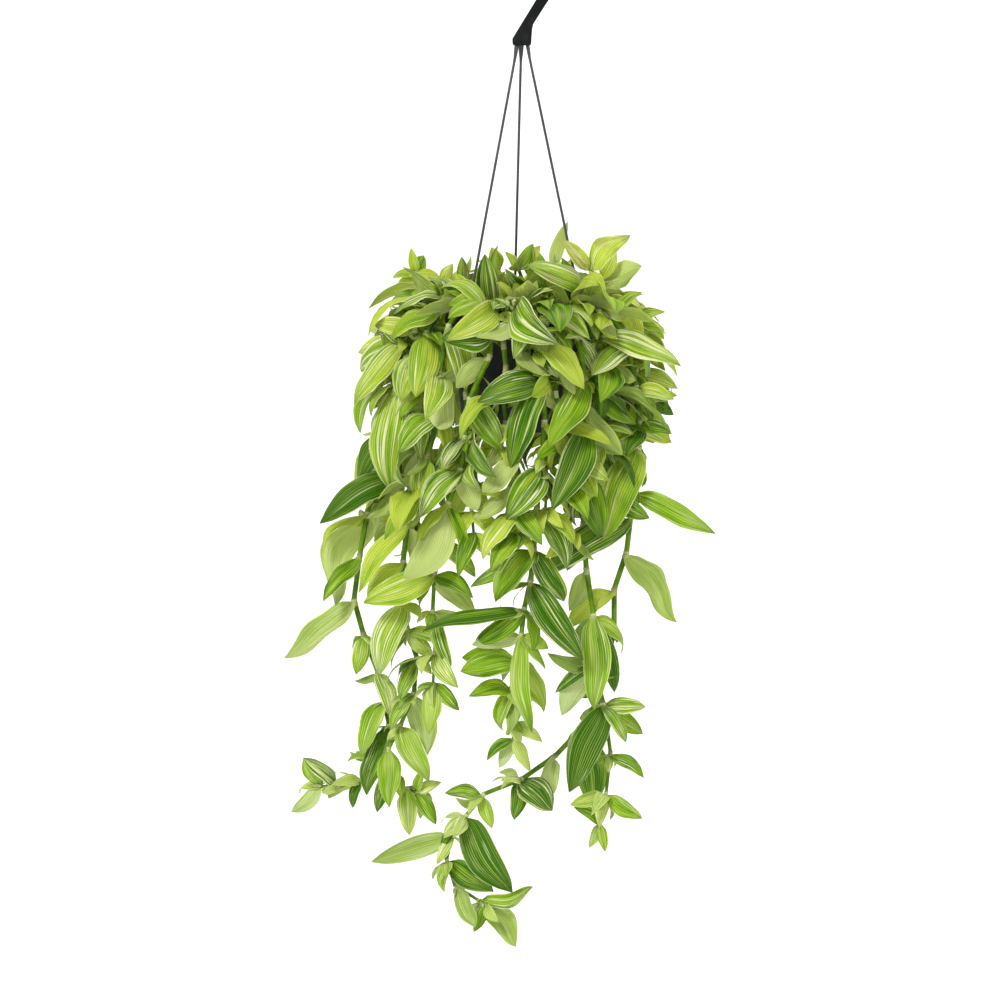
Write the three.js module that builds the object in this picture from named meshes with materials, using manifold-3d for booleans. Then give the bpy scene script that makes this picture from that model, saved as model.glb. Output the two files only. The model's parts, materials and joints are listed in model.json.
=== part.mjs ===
// Potted tradescantia in a hanging pot: a nursery pot of black plastic, its three-legged hanger with a
// wide hook, the soil, and the leafy stems that rise from it, arch over the rim and hang down.
// Millimetres, +Z up. The origin is on the flat seat inside the top of the hook, +X is to the right
// and the plant is seen from -Y.
import * as THREE from "three";
import { mergeVertices } from "three/addons/utils/BufferGeometryUtils.js";
import Module from "manifold-3d";

const wasm = await Module();
wasm.setup();

// hook and hub
const HOOK_INNER = 27; // inside radius of the hook, up to its seat
const STRAP_WIDTH = 11;
const STRAP_DEPTH = 6.4;
const STRAP_LEAN = 32.5; // degrees from the plumb line
const HUB_BOTTOM = -100;
const HUB_RADIUS = 9.3;

// legs
const LEG_AZIMUTHS = { back: -6, right: 114, left: 234 }; // clockwise from +Y, seen from above
const LEG_TOP_RADIUS = 6.2;
const LEG_FOOT_RADIUS = 66;
const LEG_ROD = 1.3; // radius of the thin part
const GAP = 0.3;

// pot
const RIM = -366; // height of the rim's top
const RIM_RADIUS = 76;
const LIP_HEIGHT = 12;
const WALL = 2;
const NECK_RADIUS = 71;
const BASE = -478;
const BASE_RADIUS = 58.5;
const SLOT = { halfWidth: 4, halfHeight: 3, z: -382.5 };
const POT_SEGMENTS = 24;
const DRAIN = { count: 6, radius: 5, ring: 38 };

// soil
const SOIL = -388;
const HOLE_DEPTH = 14;

// stems and blades
const STEM_ROOT = 2.4; // from the middle of a stem to its corners, at the soil
const STEM_TIP = 1.25;
const LONG_SIDES = 4;
const SHORT_SIDES = 3;
const SHEATH = 3; // from a joint to the place where its blade leaves the stem
const BLADE = 1.2; // thickness along the midrib
const STATIONS = [0.14, 0.43, 0.76]; // where a large blade has its cross sections, along the midrib
const SMALL_STATIONS = [0.2, 0.64];
const LARGE = 62; // blades shorter than this have the few sections of a small one
const FULL = 1.05; // a blade's few straight edges stand this far out, to cover what a smooth one does
const SLIVER = 0.03; // edges shorter than this are closed up where a blade joins its stem
const CLEAR = 0.45; // kept between a blade and everything that isn't its own stem
const SHEET_X = 521.5; // the plumb line's place across the setting-out sheet
const SHEET_Y = 54; // height of the seat above the sheet's top edge
const SHEET_TIP = 0.14; // the sheet is seen from a little above, so a nearer point lies lower on it

// The bends that a blade may take to stay clear of its neighbours: outward, sideways, roll, size.
const BENDS = [
  [0, 0, 0, 1], [0.2, 0, 0, 1], [-0.2, 0, 0, 1], [0.4, 0, 0.3, 1], [0.1, 0.2, -0.3, 0.97],
  [0.1, -0.2, 0.3, 0.97], [0.6, 0, 0, 0.95], [0.3, 0.4, 0.4, 0.92], [0.3, -0.4, -0.4, 0.92],
  [-0.35, 0.2, 0.2, 0.9], [0.8, 0.2, 0, 0.85], [0.8, -0.2, 0, 0.85], [0.2, 0.6, 0.5, 0.8],
  [0.2, -0.6, -0.5, 0.8], [0.5, 0, 0.8, 0.75], [0, 0, -0.8, 0.7], [0.5, 0.3, 0, 0.6],
  [0.5, -0.3, 0, 0.6], [1.2, 0.3, 0.5, 0.8], [1.2, -0.3, -0.5, 0.8], [0.2, 1, 0, 0.75],
  [0.2, -1, 0, 0.75], [-0.5, 0.6, 0, 0.65], [-0.5, -0.6, 0, 0.65], [0.1, 0, 0, 0.5],
];

// Stems set out joint by joint on the sheet (x right, y down) with the depth of each joint, then the
// leaves that stand at it: the sheet place of the tip, how far the tip comes forward and, for a leaf
// that shows its underside, -1, then the leaf's width where it isn't the usual one. A joint without
// leaves of its own gets one by rule.
const SHEET_STEMS = [
  ["long_stem_left", 256, 50, 11, [
    [446, 298, -20, [412, 270, 2, -1]], [420, 308, -30], [404, 338, -36, [355, 402, 10, 1, 28]],
    [399, 380, -38, [412, 490, 16]], [398, 424, -39, [358, 481, 0]], [401, 472, -40, [322, 521, 22, 1, 30]],
    [369, 510, -40, [321, 597, 8, -1, 36]], [361, 553, -41, [324, 598, 22]],
    [355, 598, -41, [287, 659, 6, -1, 44]], [364, 632, -41, [357, 673, 10]],
    [378, 670, -41, [355, 680, 4, -1]], [384, 698, -42, [362, 756, 16]], [389, 724, -43, [366, 794, 22]],
    [380, 752, -44], [363, 780, -46, [353, 808, 10]], [340, 787, -48, [304, 757, 4]],
    [320, 786, -50, [292, 812, 10, -1], [312, 750, 0], [297, 760, 12]],
  ]],
  ["long_stem_left_front", 228, 50, 23, [
    [466, 302, -50], [450, 326, -70, [476, 388, 14]], [441, 372, -79],
    [440, 414, -81, [401, 451, 16, 1, 32]], [430, 452, -79, [428, 512, 2], [412, 495, 10, -1, 14]],
    [415, 486, -77], [409, 520, -76, [397, 558, 4, -1, 22], [361, 590, 12, 1, 20]],
    [405, 558, -76, [420, 598, 6, 1, 16]], [404, 598, -76, [381, 672, 22]],
    [408, 625, -76, [394, 648, 14], [446, 646, 12]], [418, 655, -75, [402, 697, 14]],
    [415, 690, -74, [428, 753, 18, -1]], [402, 722, -72, [430, 779, 22]], [390, 746, -72],
    [389, 770, -71, [378, 810, 14]], [404, 786, -70, [410, 834, 10]],
    [419, 792, -70, [442, 820, 10], [442, 780, 6], [424, 764, 0]],
  ]],
  ["long_stem_front", 200, 36, 37, [
    [497, 305, -70], [493, 332, -87, [441, 340, 12, 1, 34]], [490, 356, -93, [466, 401, 14, -1]],
    [471, 398, -96, [503, 450, 14, 1, 28]], [466, 435, -96, [440, 470, 6]],
    [462, 467, -96, [475, 514, 14, -1, 24], [421, 515, 18]],
    [450, 500, -95, [414, 584, 50, -1, 38], [463, 569, 2, 1, 13]], [439, 532, -94, [446, 573, 10, -1, 22]],
    [436, 570, -93, [366, 599, 10], [474, 594, 16]], [434, 607, -92, [470, 614, 6, -1]],
    [436, 648, -91, [459, 684, 14]], [434, 682, -90, [460, 707, 8], [430, 730, 12]],
  ]],
  ["long_stem_middle", 178, 50, 41, [
    [524, 306, -78, [509, 371, 16, 1, 24]], [533, 340, -95],
    [541, 378, -104, [478, 402, 14, 1, 32], [510, 467, 10]], [543, 420, -107, [567, 464, 4]],
    [541, 464, -107, [506, 517, 16, 1, 33]], [536, 505, -106, [566, 566, 6]],
    [533, 545, -105, [495, 598, 14, 1, 33]], [530, 577, -103, [581, 656, 18, 1, 31]],
    [524, 604, -101, [423, 626, 10, 1, 18]], [521, 630, -100, [472, 641, 2, -1], [531, 728, 16, 1, 20]],
    [515, 654, -98, [461, 667, 16, 1, 30]], [511, 684, -96, [469, 692, 10], [510, 736, 16, -1]],
    [512, 716, -95, [542, 738, 4]], [513, 738, -95, [487, 757, 4], [530, 768, 6], [499, 764, 12, -1]],
  ]],
  ["long_stem_right_front", 146, 50, 59, [
    [564, 304, -64], [575, 335, -82], [583, 378, -90, [529, 441, 16]], [584, 425, -92, [541, 506, 20]],
    [583, 470, -92, [598, 536, 2]], [582, 520, -72, [556, 566, 0, -1]], [585, 566, -68, [560, 606, 2, -1]],
    [592, 612, -76, [592, 706, 30, 1, 30], [568, 648, 2, -1]],
    [591, 658, -88, [560, 712, 4, -1], [546, 650, 4, -1]], [602, 700, -86, [568, 789, 16], [625, 738, 14]],
    [609, 749, -86, [642, 774, 12]], [605, 790, -86, [641, 815, 8], [569, 802, 8]],
    [598, 824, -86, [573, 804, 6], [604, 849, 8], [588, 846, 0, -1]],
  ]],
  ["long_stem_right", 120, 50, 67, [
    [586, 300, -40], [608, 312, -50], [625, 342, -55, [560, 365, 20]], [633, 385, -56, [671, 398, 8]],
    [637, 420, -56, [669, 432, 6], [602, 444, 18]], [636, 446, -56, [586, 531, 22]],
    [634, 489, -56, [713, 531, 8, 1, 25]], [629, 514, -56, [541, 571, 50, 1, 32]],
    [625, 550, -56, [674, 621, 12, -1, 38]], [613, 587, -56, [566, 626, 2]],
    [613, 627, -56, [603, 642, -4, 1, 10]], [606, 665, -55, [586, 702, -10, 1, 20]],
    [597, 703, -56, [643, 733, -4, 1, 22]], [580, 728, -60], [555, 754, -67, [553, 792, 10, -1, 20]],
    [522, 777, -74, [552, 808, 14, 1, 34], [514, 818, 10, 1, 18]],
    [484, 792, -79, [445, 791, 0], [492, 826, 10]], [467, 813, -81, [512, 891, 14]],
    [453, 832, -82, [372, 860, 6, -1, 24]], [447, 858, -82, [438, 868, 10, -1], [494, 890, 6]],
    [455, 884, -82, [488, 922, 12, -1]], [478, 899, -83, [533, 886, 4, 1, 16]],
    [488, 905, -83, [516, 946, 6, -1, 26]],
  ]],
  ["top_stem_left", 242, 22.8, 71, [
    [492, 312, -18, [485, 253, 8, 1, 24], [498, 243, -6, 1, 14]], [486, 290, -4],
  ]],
  ["top_stem_mid_right", 84, 20, 73, [
    [543, 312, 4], [550, 290, 6, [524, 252, 4]], [553, 264, 8, [567, 219, 0, -1, 15], [582, 262, 20]],
  ]],
  ["top_stem_right_front", 138, 24, 79, [
    [543, 312, -22], [565, 302, -31, [561, 257, 0]], [584, 291, -34, [523, 267, 14, 1, 29]],
    [590, 268, -30, [628, 234, 2, 1, 29], [562, 240, 4], [603, 298, 18]],
  ]],
  ["top_stem_right_back", 31, 23.3, 83, [
    [543, 304, 24], [574, 290, 30], [604, 274, 30, [642, 263, 12, -1, 36], [616, 246, 0], [628, 290, 14]],
  ]],
  ["top_stem_far_left", 292, 21.5, 89, [
    [491, 306, 7], [468, 289, 6], [446, 283, 4, [472, 253, 2, -1], [408, 273, 8]], [428, 277, 2],
    [414, 270, 0, [412, 246, 2], [393, 276, 4]],
  ]],
  ["top_stem_back", 345, 22.8, 97, [
    [511, 306, 30], [505, 284, 36], [498, 262, 40],
  ]],
  ["top_stem_middle", 180, 3, 101, [
    [523, 310, -6], [526, 288, -10], [518, 266, -12, [540, 244, 0], [505, 250, 0]],
  ]],
];

// Stems set out by rule round the rim: azimuth, root radius, slope over the rim, how much steeper each
// next joint falls, spacing of the joints, number of joints past the rim, seed.
const RIM_STEMS = [
  [128, 36, -20, 40, 25, 8, 103], [136, 50, -30, 45, 24, 6, 107], [153, 36, -35, 50, 24, 9, 109],
  [160, 50, -30, 50, 23, 6, 113], [167, 36, -35, 50, 24, 8, 127], [185, 36, -35, 50, 24, 9, 131],
  [192, 50, -30, 50, 23, 6, 137], [208, 50, -35, 50, 24, 9, 139], [216, 36, -30, 50, 24, 7, 149],
  [240, 36, -15, 40, 25, 9, 151], [247, 50, -5, 40, 25, 6, 157], [264, 36, 0, 36, 25, 8, 163],
  [270, 50, 5, 38, 25, 5, 167], [281, 36, -8, 34, 26, 8, 173], [290, 50, 5, 38, 25, 5, 179],
  [300, 36, -8, 34, 26, 7, 181], [312, 50, 5, 38, 26, 6, 191], [324, 36, -8, 34, 26, 8, 193],
  [336, 50, 0, 40, 26, 5, 197], [346, 36, -8, 36, 26, 7, 199], [2, 50, 0, 40, 26, 6, 211],
  [14, 36, -8, 34, 26, 7, 223], [26, 50, 5, 40, 26, 5, 227], [38, 36, -8, 34, 26, 8, 229],
  [50, 50, 5, 38, 26, 5, 233], [62, 36, -8, 34, 26, 7, 239, 0.85], [74, 50, 0, 38, 24, 5, 241, 0.75],
  [85, 36, -12, 38, 23, 8, 251, 0.7], [96, 50, -5, 42, 22, 6, 257, 0.7], [106, 36, -12, 40, 22, 8, 263, 0.7],
];

// Leaves set out on the sheet for the stems round the rim: stem, joint, place of the tip, how far it
// comes forward and, for an underside, -1, then the width where it isn't the usual one.
const RIM_TIPS = [
  [1, 8, 643, 431, 4], [2, 3, 545, 325, 20, 1, 16], [2, 4, 533, 336, 30, 1, 14], [3, 4, 542, 358, 14],
  [7, 2, 531, 341, 26], [8, 5, 443, 345, 10, 1, 34], [9, 3, 449, 306, 14], [10, 4, 392, 340, 8, 1, 28],
  [10, 6, 406, 397, 12], [10, 7, 404, 420, 6], [11, 3, 398, 312, 0], [11, 4, 364, 322, 4],
  [26, 6, 681, 371, 0], [27, 6, 662, 353, 12], [28, 5, 664, 309, 12], [28, 8, 677, 393, 14],
  [29, 5, 617, 371, 34], [30, 7, 587, 400, 44],
];

// Places on the sheet where the pot shows between the leaves: x, y and half the width and height.
const WINDOWS = [[501, 360, 7, 15], [459, 404, 5, 14], [455, 323, 7, 3]];

// How far to the left and right on the sheet a leaf's tip may reach, down to a height: y, left, right.
const EDGES = [[300, 388, 652], [345, 366, 664], [440, 354, 680], [500, 345, 645], [1000, 280, 650]];

const rad = (d) => (d * Math.PI) / 180;
const vec = (x, y, z) => new THREE.Vector3(x, y, z);
const UP = vec(0, 0, 1);
const FRONT = vec(0, -1, 0);

function solid(geometry) {
  geometry.deleteAttribute("normal");
  geometry.deleteAttribute("uv");
  const merged = mergeVertices(geometry, 1e-4);
  const made = new wasm.Manifold(new wasm.Mesh({
    numProp: 3,
    vertProperties: new Float32Array(merged.attributes.position.array),
    triVerts: new Uint32Array(merged.index.array),
  }));
  if (made.volume() > 0) return made;
  const turned = Uint32Array.from(merged.index.array);
  for (let i = 0; i < turned.length; i += 3) [turned[i + 1], turned[i + 2]] = [turned[i + 2], turned[i + 1]];
  return new wasm.Manifold(new wasm.Mesh({
    numProp: 3,
    vertProperties: new Float32Array(merged.attributes.position.array),
    triVerts: turned,
  }));
}

function indexed(points, triangles) {
  const g = new THREE.BufferGeometry();
  g.setAttribute("position", new THREE.Float32BufferAttribute(points.flatMap((p) => [p.x, p.y, p.z]), 3));
  g.setIndex(triangles.flat());
  return g;
}

function geometryOf(body) {
  const m = body.getMesh();
  const g = new THREE.BufferGeometry();
  const v = new Float32Array(m.numVert * 3);
  for (let i = 0; i < m.numVert; i++) {
    const at = i * m.numProp;
    v.set(m.vertProperties.subarray(at, at + 3), i * 3);
  }
  g.setAttribute("position", new THREE.BufferAttribute(v, 3));
  g.setIndex(new THREE.BufferAttribute(new Uint32Array(m.triVerts), 1));
  return g;
}

// A tube through rings of points; the first and last rings are closed with flat caps.
function tube(rings) {
  const n = rings[0].length;
  const points = rings.flat();
  const triangles = [];
  for (let i = 0; i + 1 < rings.length; i++)
    for (let k = 0; k < n; k++) {
      const a = i * n + k;
      const b = i * n + ((k + 1) % n);
      triangles.push([a, b, b + n], [a, b + n, a + n]);
    }
  const last = (rings.length - 1) * n;
  for (let k = 1; k + 1 < n; k++) triangles.push([0, k + 1, k], [last, last + k, last + k + 1]);
  return solid(indexed(points, triangles));
}

function lathe(profile, segments) {
  const g = new THREE.LatheGeometry(profile.map(([r, z]) => new THREE.Vector2(r, z)), segments);
  g.rotateX(Math.PI / 2);
  return solid(g);
}

function prism(sides, radius, bottom, top, x, y, turn = 0) {
  const ring = (z) => Array.from({ length: sides }, (_, k) => {
    const a = turn + (2 * Math.PI * k) / sides;
    return vec(x + radius * Math.cos(a), y + radius * Math.sin(a), z);
  });
  return tube([ring(bottom), ring(top)]);
}

function material(name, color, roughness) {
  const m = new THREE.MeshStandardMaterial({ color, roughness, metalness: 0 });
  m.name = name;
  return m;
}
const PLASTIC = material("black_plastic", 0x1b1e26, 0.45);
const SOIL_MATERIAL = material("soil", 0x2e2117, 1);
const LEAF_MATERIAL = material("leafy_stem", 0x7da432, 0.5);

const group = new THREE.Group();
group.name = "potted_tradescantia";
const placed = []; // every solid that a blade has to stay clear of: { owner, body, box }
function box(body) {
  const b = body.boundingBox();
  return { min: [...b.min], max: [...b.max] };
}
function add(name, body, finish) {
  const mesh = new THREE.Mesh(geometryOf(body), finish);
  mesh.name = name;
  group.add(mesh);
}
function keep(owner, body) {
  placed.push({ owner, body, box: box(body) });
}

// Hook: a flat strap rising from the hub, bent over into a wide hook with a flat seat
{
  const centre = [0, -HOOK_INNER];
  const bearings = [-STRAP_LEAN, -18, 0, 18, 36, 54, 72, 90, 108, 126, 144, 162, 180, 198];
  const corners = (radius) => bearings.slice(1).map((b, i) => {
    const a = rad((b + bearings[i]) / 2);
    const far = radius / Math.cos(rad((b - bearings[i]) / 2));
    return [centre[0] + far * Math.cos(a), centre[1] + far * Math.sin(a)];
  });
  const inner = corners(HOOK_INNER);
  const outer = corners(HOOK_INNER + STRAP_WIDTH);
  // down the strap's left side from the first inner corner, round the hub's flat, up its right side
  const outline = [
    [8.6, HUB_BOTTOM + 0.4], [9.2, HUB_BOTTOM + 8], [10.9, HUB_BOTTOM + 20],
    ...outer,
    [-40.2, -42.4], [-44.2, -48], [-43.4, -50.4], [-40.6, -51], [-36.6, -48.6], [-30.4, -40.6],
    ...inner.reverse(),
    [-9.3, HUB_BOTTOM + 6.6], [-9.3, HUB_BOTTOM + 3], [-8, HUB_BOTTOM + 0.4],
  ];
  const shape = new THREE.Shape(outline.map(([x, z]) => new THREE.Vector2(x, z)));
  const strap = new THREE.ExtrudeGeometry(shape, { depth: STRAP_DEPTH, bevelEnabled: false, steps: 1 });
  strap.rotateX(Math.PI / 2);
  strap.translate(0, STRAP_DEPTH / 2, 0);
  const hub = lathe([
    [0, HUB_BOTTOM], [9, HUB_BOTTOM], [HUB_RADIUS, HUB_BOTTOM + 3], [HUB_RADIUS, HUB_BOTTOM + 6.5],
    [7, HUB_BOTTOM + 12], [3, HUB_BOTTOM + 17], [0, HUB_BOTTOM + 18],
  ], 16);
  let hook = solid(strap).add(hub);
  for (const azimuth of Object.values(LEG_AZIMUTHS)) {
    const a = rad(azimuth);
    hook = hook.subtract(prism(6, 2 + GAP, HUB_BOTTOM - 1, HUB_BOTTOM + 5.3,
      LEG_TOP_RADIUS * Math.sin(a), LEG_TOP_RADIUS * Math.cos(a), -a));
  }
  add("hanger_hook", hook, PLASTIC);
  keep("hanger_hook", hook);
}

// Legs: thin rods with a flared head in the hub and a foot through the slot under the rim
for (const [side, azimuth] of Object.entries(LEG_AZIMUTHS)) {
  const a = rad(azimuth);
  const out = vec(Math.sin(a), Math.cos(a), 0);
  const across = vec(Math.cos(a), -Math.sin(a), 0);
  // radius, height, half width across, half thickness, bearing of the ring's normal from straight down
  const stations = [
    [LEG_TOP_RADIUS, HUB_BOTTOM + 5, 1.5, 1.55, 0], [LEG_TOP_RADIUS, HUB_BOTTOM - 0.4, 1.5, 1.55, 0],
    [LEG_TOP_RADIUS + 0.6, HUB_BOTTOM - 3, 2.1, 1.7, 10],
    [LEG_TOP_RADIUS + 2.4, HUB_BOTTOM - 11, LEG_ROD, LEG_ROD, 12.5],
    [LEG_FOOT_RADIUS - 0.6, RIM + 6, LEG_ROD, LEG_ROD, 12.5], [LEG_FOOT_RADIUS - 0.2, RIM - 2, 2, 1.5, 4],
    [LEG_FOOT_RADIUS, RIM - 12, 3.4, 1.5, 8], [LEG_FOOT_RADIUS + 0.9, SLOT.z + 0.9, 3.6, 1.8, 45],
    [LEG_FOOT_RADIUS + 3, SLOT.z, 3.7, 2.7, 90], [LEG_FOOT_RADIUS + 5.2, SLOT.z, 3.7, 2.7, 90],
    [LEG_FOOT_RADIUS + 5.6, SLOT.z, 3.7, 3.4, 90], [LEG_FOOT_RADIUS + 7.6, SLOT.z, 3, 2.6, 90],
  ];
  const rings = stations.map(([r, z, w, t, bearing]) => {
    const b = rad(bearing);
    const face = out.clone().multiplyScalar(Math.cos(b)).addScaledVector(UP, Math.sin(b));
    const p = out.clone().multiplyScalar(r).addScaledVector(UP, z);
    return [0, 1, 2, 3, 4, 5].map((k) => {
      const turn = rad(60 * k + 30);
      return p.clone().addScaledVector(across, (w * Math.cos(turn)) / Math.cos(rad(30)))
        .addScaledVector(face, t * Math.sin(turn));
    });
  });
  const leg = tube(rings);
  add("hanger_leg_" + side, leg, PLASTIC);
  keep("hanger_leg_" + side, leg);
}

// Pot: a thin tapered cup with a deep rolled lip, drain holes and the slots for the legs' feet
{
  let pot = lathe([
    [0, BASE], [BASE_RADIUS - 1.5, BASE], [BASE_RADIUS, BASE + 1.5], [NECK_RADIUS, RIM - LIP_HEIGHT],
    [NECK_RADIUS, RIM - WALL], [RIM_RADIUS - WALL, RIM - WALL], [RIM_RADIUS - WALL, RIM - LIP_HEIGHT],
    [RIM_RADIUS, RIM - LIP_HEIGHT], [RIM_RADIUS, RIM - 1.2], [RIM_RADIUS - 1.2, RIM],
    [NECK_RADIUS - WALL, RIM], [NECK_RADIUS - WALL, RIM - LIP_HEIGHT], [BASE_RADIUS - WALL, BASE + WALL],
    [0, BASE + WALL],
  ], POT_SEGMENTS);
  for (const azimuth of Object.values(LEG_AZIMUTHS)) {
    const slot = new THREE.BoxGeometry(SLOT.halfWidth * 2, 8, SLOT.halfHeight * 2);
    slot.translate(0, NECK_RADIUS - 1.5, SLOT.z);
    slot.rotateZ(-rad(azimuth));
    pot = pot.subtract(solid(slot));
  }
  for (let i = 0; i < DRAIN.count; i++) {
    const a = rad(30 + (360 * i) / DRAIN.count);
    const x = DRAIN.ring * Math.sin(a);
    const y = DRAIN.ring * Math.cos(a);
    pot = pot.subtract(prism(10, DRAIN.radius, BASE - 1, BASE + WALL + 1, x, y));
  }
  add("pot", pot, PLASTIC);
  keep("pot", pot);
}

// The paths of the stems.
const sheet = (x, y, depth) => vec(x - SHEET_X, depth, -(y + SHEET_Y) - depth * SHEET_TIP);
function outward(p, azimuth) {
  const o = vec(p.x, p.y, 0);
  if (o.length() < 12) o.set(Math.sin(rad(azimuth)), Math.cos(rad(azimuth)), 0);
  return o.normalize();
}
function randomFrom(seed) {
  let s = seed * 7919;
  const next = () => {
    s = (s * 16807) % 2147483647;
    return s / 2147483647;
  };
  for (let i = 0; i < 5; i++) next();
  return next;
}

const stems = [];
for (const [name, azimuth, root, seed, rows] of SHEET_STEMS) {
  const a = rad(azimuth);
  const foot = vec(root * Math.sin(a), root * Math.cos(a), SOIL - HOLE_DEPTH);
  const joints = [{ p: foot }, { p: vec(foot.x, foot.y, SOIL + 8) }];
  for (const [x, y, depth, ...leaves] of rows)
    joints.push({
      p: sheet(x, y, depth),
      tips: leaves.map(([tx, ty, forward, face = 1, width]) => (
        { p: sheet(tx, ty, depth - forward), face, width })),
    });
  stems.push({ name, azimuth, seed, joints, sides: name.startsWith("long") ? LONG_SIDES : SHORT_SIDES });
}
RIM_STEMS.forEach(([azimuth, root, slope, fall, step, count, seed, size], index) => {
  const random = randomFrom(seed);
  const a = rad(azimuth);
  const out = vec(Math.sin(a), Math.cos(a), 0);
  const across = vec(Math.cos(a), -Math.sin(a), 0);
  const at = (r, z, side) => vec(0, 0, z).addScaledVector(out, r).addScaledVector(across, side);
  const joints = [{ p: at(root, SOIL - HOLE_DEPTH, 0) }, { p: at(root, SOIL + 8, 0) }];
  const lift = random();
  const crest = [68 + 9 * ((lift * 7) % 1), RIM + 15 + 5 * lift];
  if (root < 40) joints.push({ p: at((root + crest[0]) / 2, (SOIL + 8 + crest[1]) / 2 + 3, 0), tips: [] });
  joints.push({ p: at(crest[0], crest[1], 0), tips: [] });
  let [r, z] = crest;
  let side = 0;
  for (let i = 0; i < count; i++) {
    const e = rad(Math.max(-86, slope - fall * i - 8 * random()));
    const length = i < 3 ? step : step + 5 - i * 0.4;
    r += length * Math.cos(e);
    z += length * Math.sin(e);
    side += (i % 2 ? 1 : -1) * (2 + 3 * random());
    joints.push({ p: at(r, z, side), tips: [] });
  }
  for (const [stem, joint, x, y, forward, face = 1, width] of RIM_TIPS) {
    if (stem !== index + 1) continue;
    joints[joint].tips.push({ p: sheet(x, y, joints[joint].p.y - forward), face, width });
  }
  const name = "rim_stem_" + String(index + 1).padStart(2, "0");
  stems.push({ name, azimuth, seed, joints, sides: SHORT_SIDES, leafSize: size });
});

// the few-sided stem, with a ring of corners at each joint
for (const stem of stems) {
  const p = stem.joints.map((j) => j.p);
  const last = p.length - 1;
  stem.tangents = p.map((q, i) => {
    const t = vec(0, 0, 0);
    if (i > 0) t.add(q.clone().sub(p[i - 1]).normalize());
    if (i < last) t.add(p[i + 1].clone().sub(q).normalize());
    return t.normalize();
  });
  let u = vec(1, 0, 0);
  const rings = p.map((q, i) => {
    const t = stem.tangents[i];
    u = u.clone().addScaledVector(t, -u.dot(t)).normalize();
    const v = t.clone().cross(u);
    const r = STEM_ROOT + ((STEM_TIP - STEM_ROOT) * i) / last;
    return Array.from({ length: stem.sides }, (_, k) => {
      const turn = (2 * Math.PI * k) / stem.sides;
      return q.clone().addScaledVector(u, r * Math.cos(turn)).addScaledVector(v, r * Math.sin(turn));
    });
  });
  stem.body = tube(rings);
  keep(stem.name, stem.body);
}

// Soil, with a plain hole round the foot of each stem.
{
  const slope = (NECK_RADIUS - BASE_RADIUS) / (RIM - LIP_HEIGHT - BASE - WALL);
  const inside = (z) => BASE_RADIUS - WALL + slope * (z - BASE - WALL) - GAP;
  let soil = lathe([
    [0, BASE + WALL + GAP], [inside(BASE + WALL + GAP), BASE + WALL + GAP], [inside(SOIL - 3), SOIL - 3],
    [inside(SOIL - 3) - 3, SOIL - 0.6], [0, SOIL],
  ], POT_SEGMENTS);
  for (const stem of stems) {
    const foot = stem.joints[0].p;
    const hole = STEM_ROOT + GAP / Math.cos(Math.PI / stem.sides);
    soil = soil.subtract(prism(stem.sides, hole, foot.z - GAP, SOIL + 2, foot.x, foot.y));
  }
  add("soil", soil, SOIL_MATERIAL);
  keep("soil", soil);
}

// Blades: pointed, arched and a little hollow across, thickest along the midrib.
function bladeShape(leaf, bend) {
  const [forward, sideways, turn, size] = BENDS[bend];
  const length = leaf.length * size;
  const chord = leaf.along.clone().addScaledVector(leaf.out, forward).addScaledVector(leaf.side, sideways);
  chord.normalize();
  const face = leaf.show.clone().multiplyScalar(0.75).addScaledVector(UP, 0.65);
  face.addScaledVector(leaf.lean, leaf.upright);
  face.addScaledVector(chord, -face.dot(chord)).normalize();
  face.applyAxisAngle(chord, leaf.roll + turn).multiplyScalar(leaf.face);
  const across = chord.clone().cross(face);
  return { ...leaf, chord, face, across, length, width: leaf.width * size };
}
function midrib(b, t) {
  const rise = 4 * t * (1 - t) * b.arch * b.length;
  return b.base.clone().addScaledVector(b.chord, b.length * t).addScaledVector(b.face, rise);
}
const bladeWidth = (t) => (t ** 0.6 * (1 - t) ** 0.95) / 0.3554;
function bladeBody(b, whole) {
  const stations = b.length < LARGE || !b.traced ? SMALL_STATIONS : STATIONS;
  const rings = stations.map((t) => {
    const m = midrib(b, t);
    const half = FULL * (b.width / 2) * bladeWidth(t);
    const edge = m.clone().addScaledVector(b.face, b.fold * half);
    return [
      edge.clone().addScaledVector(b.across, half), m.clone().addScaledVector(b.face, BLADE / 2),
      edge.clone().addScaledVector(b.across, -half), m.clone().addScaledVector(b.face, -BLADE / 2),
    ];
  });
  const points = rings.flat();
  const triangles = [];
  for (let i = 0; i + 1 < rings.length; i++)
    for (let k = 0; k < 4; k++) {
      const a = i * 4 + k;
      const c = i * 4 + ((k + 1) % 4);
      // the cross lines of both faces run from the midrib to the edges alike
      if (k % 2) triangles.push([a, c, a + 4], [c, c + 4, a + 4]);
      else triangles.push([a, c, c + 4], [a, c + 4, a + 4]);
    }
  const tip = points.push(midrib(b, 1)) - 1;
  const last = (rings.length - 1) * 4;
  for (let k = 0; k < 4; k++) triangles.push([last + k, last + ((k + 1) % 4), tip]);
  if (whole) {
    const base = points.push(b.base.clone()) - 1;
    for (let k = 0; k < 4; k++) triangles.push([(k + 1) % 4, k, base]);
  } else triangles.push([0, 3, 1], [3, 2, 1]);
  return solid(indexed(points, triangles));
}

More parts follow.
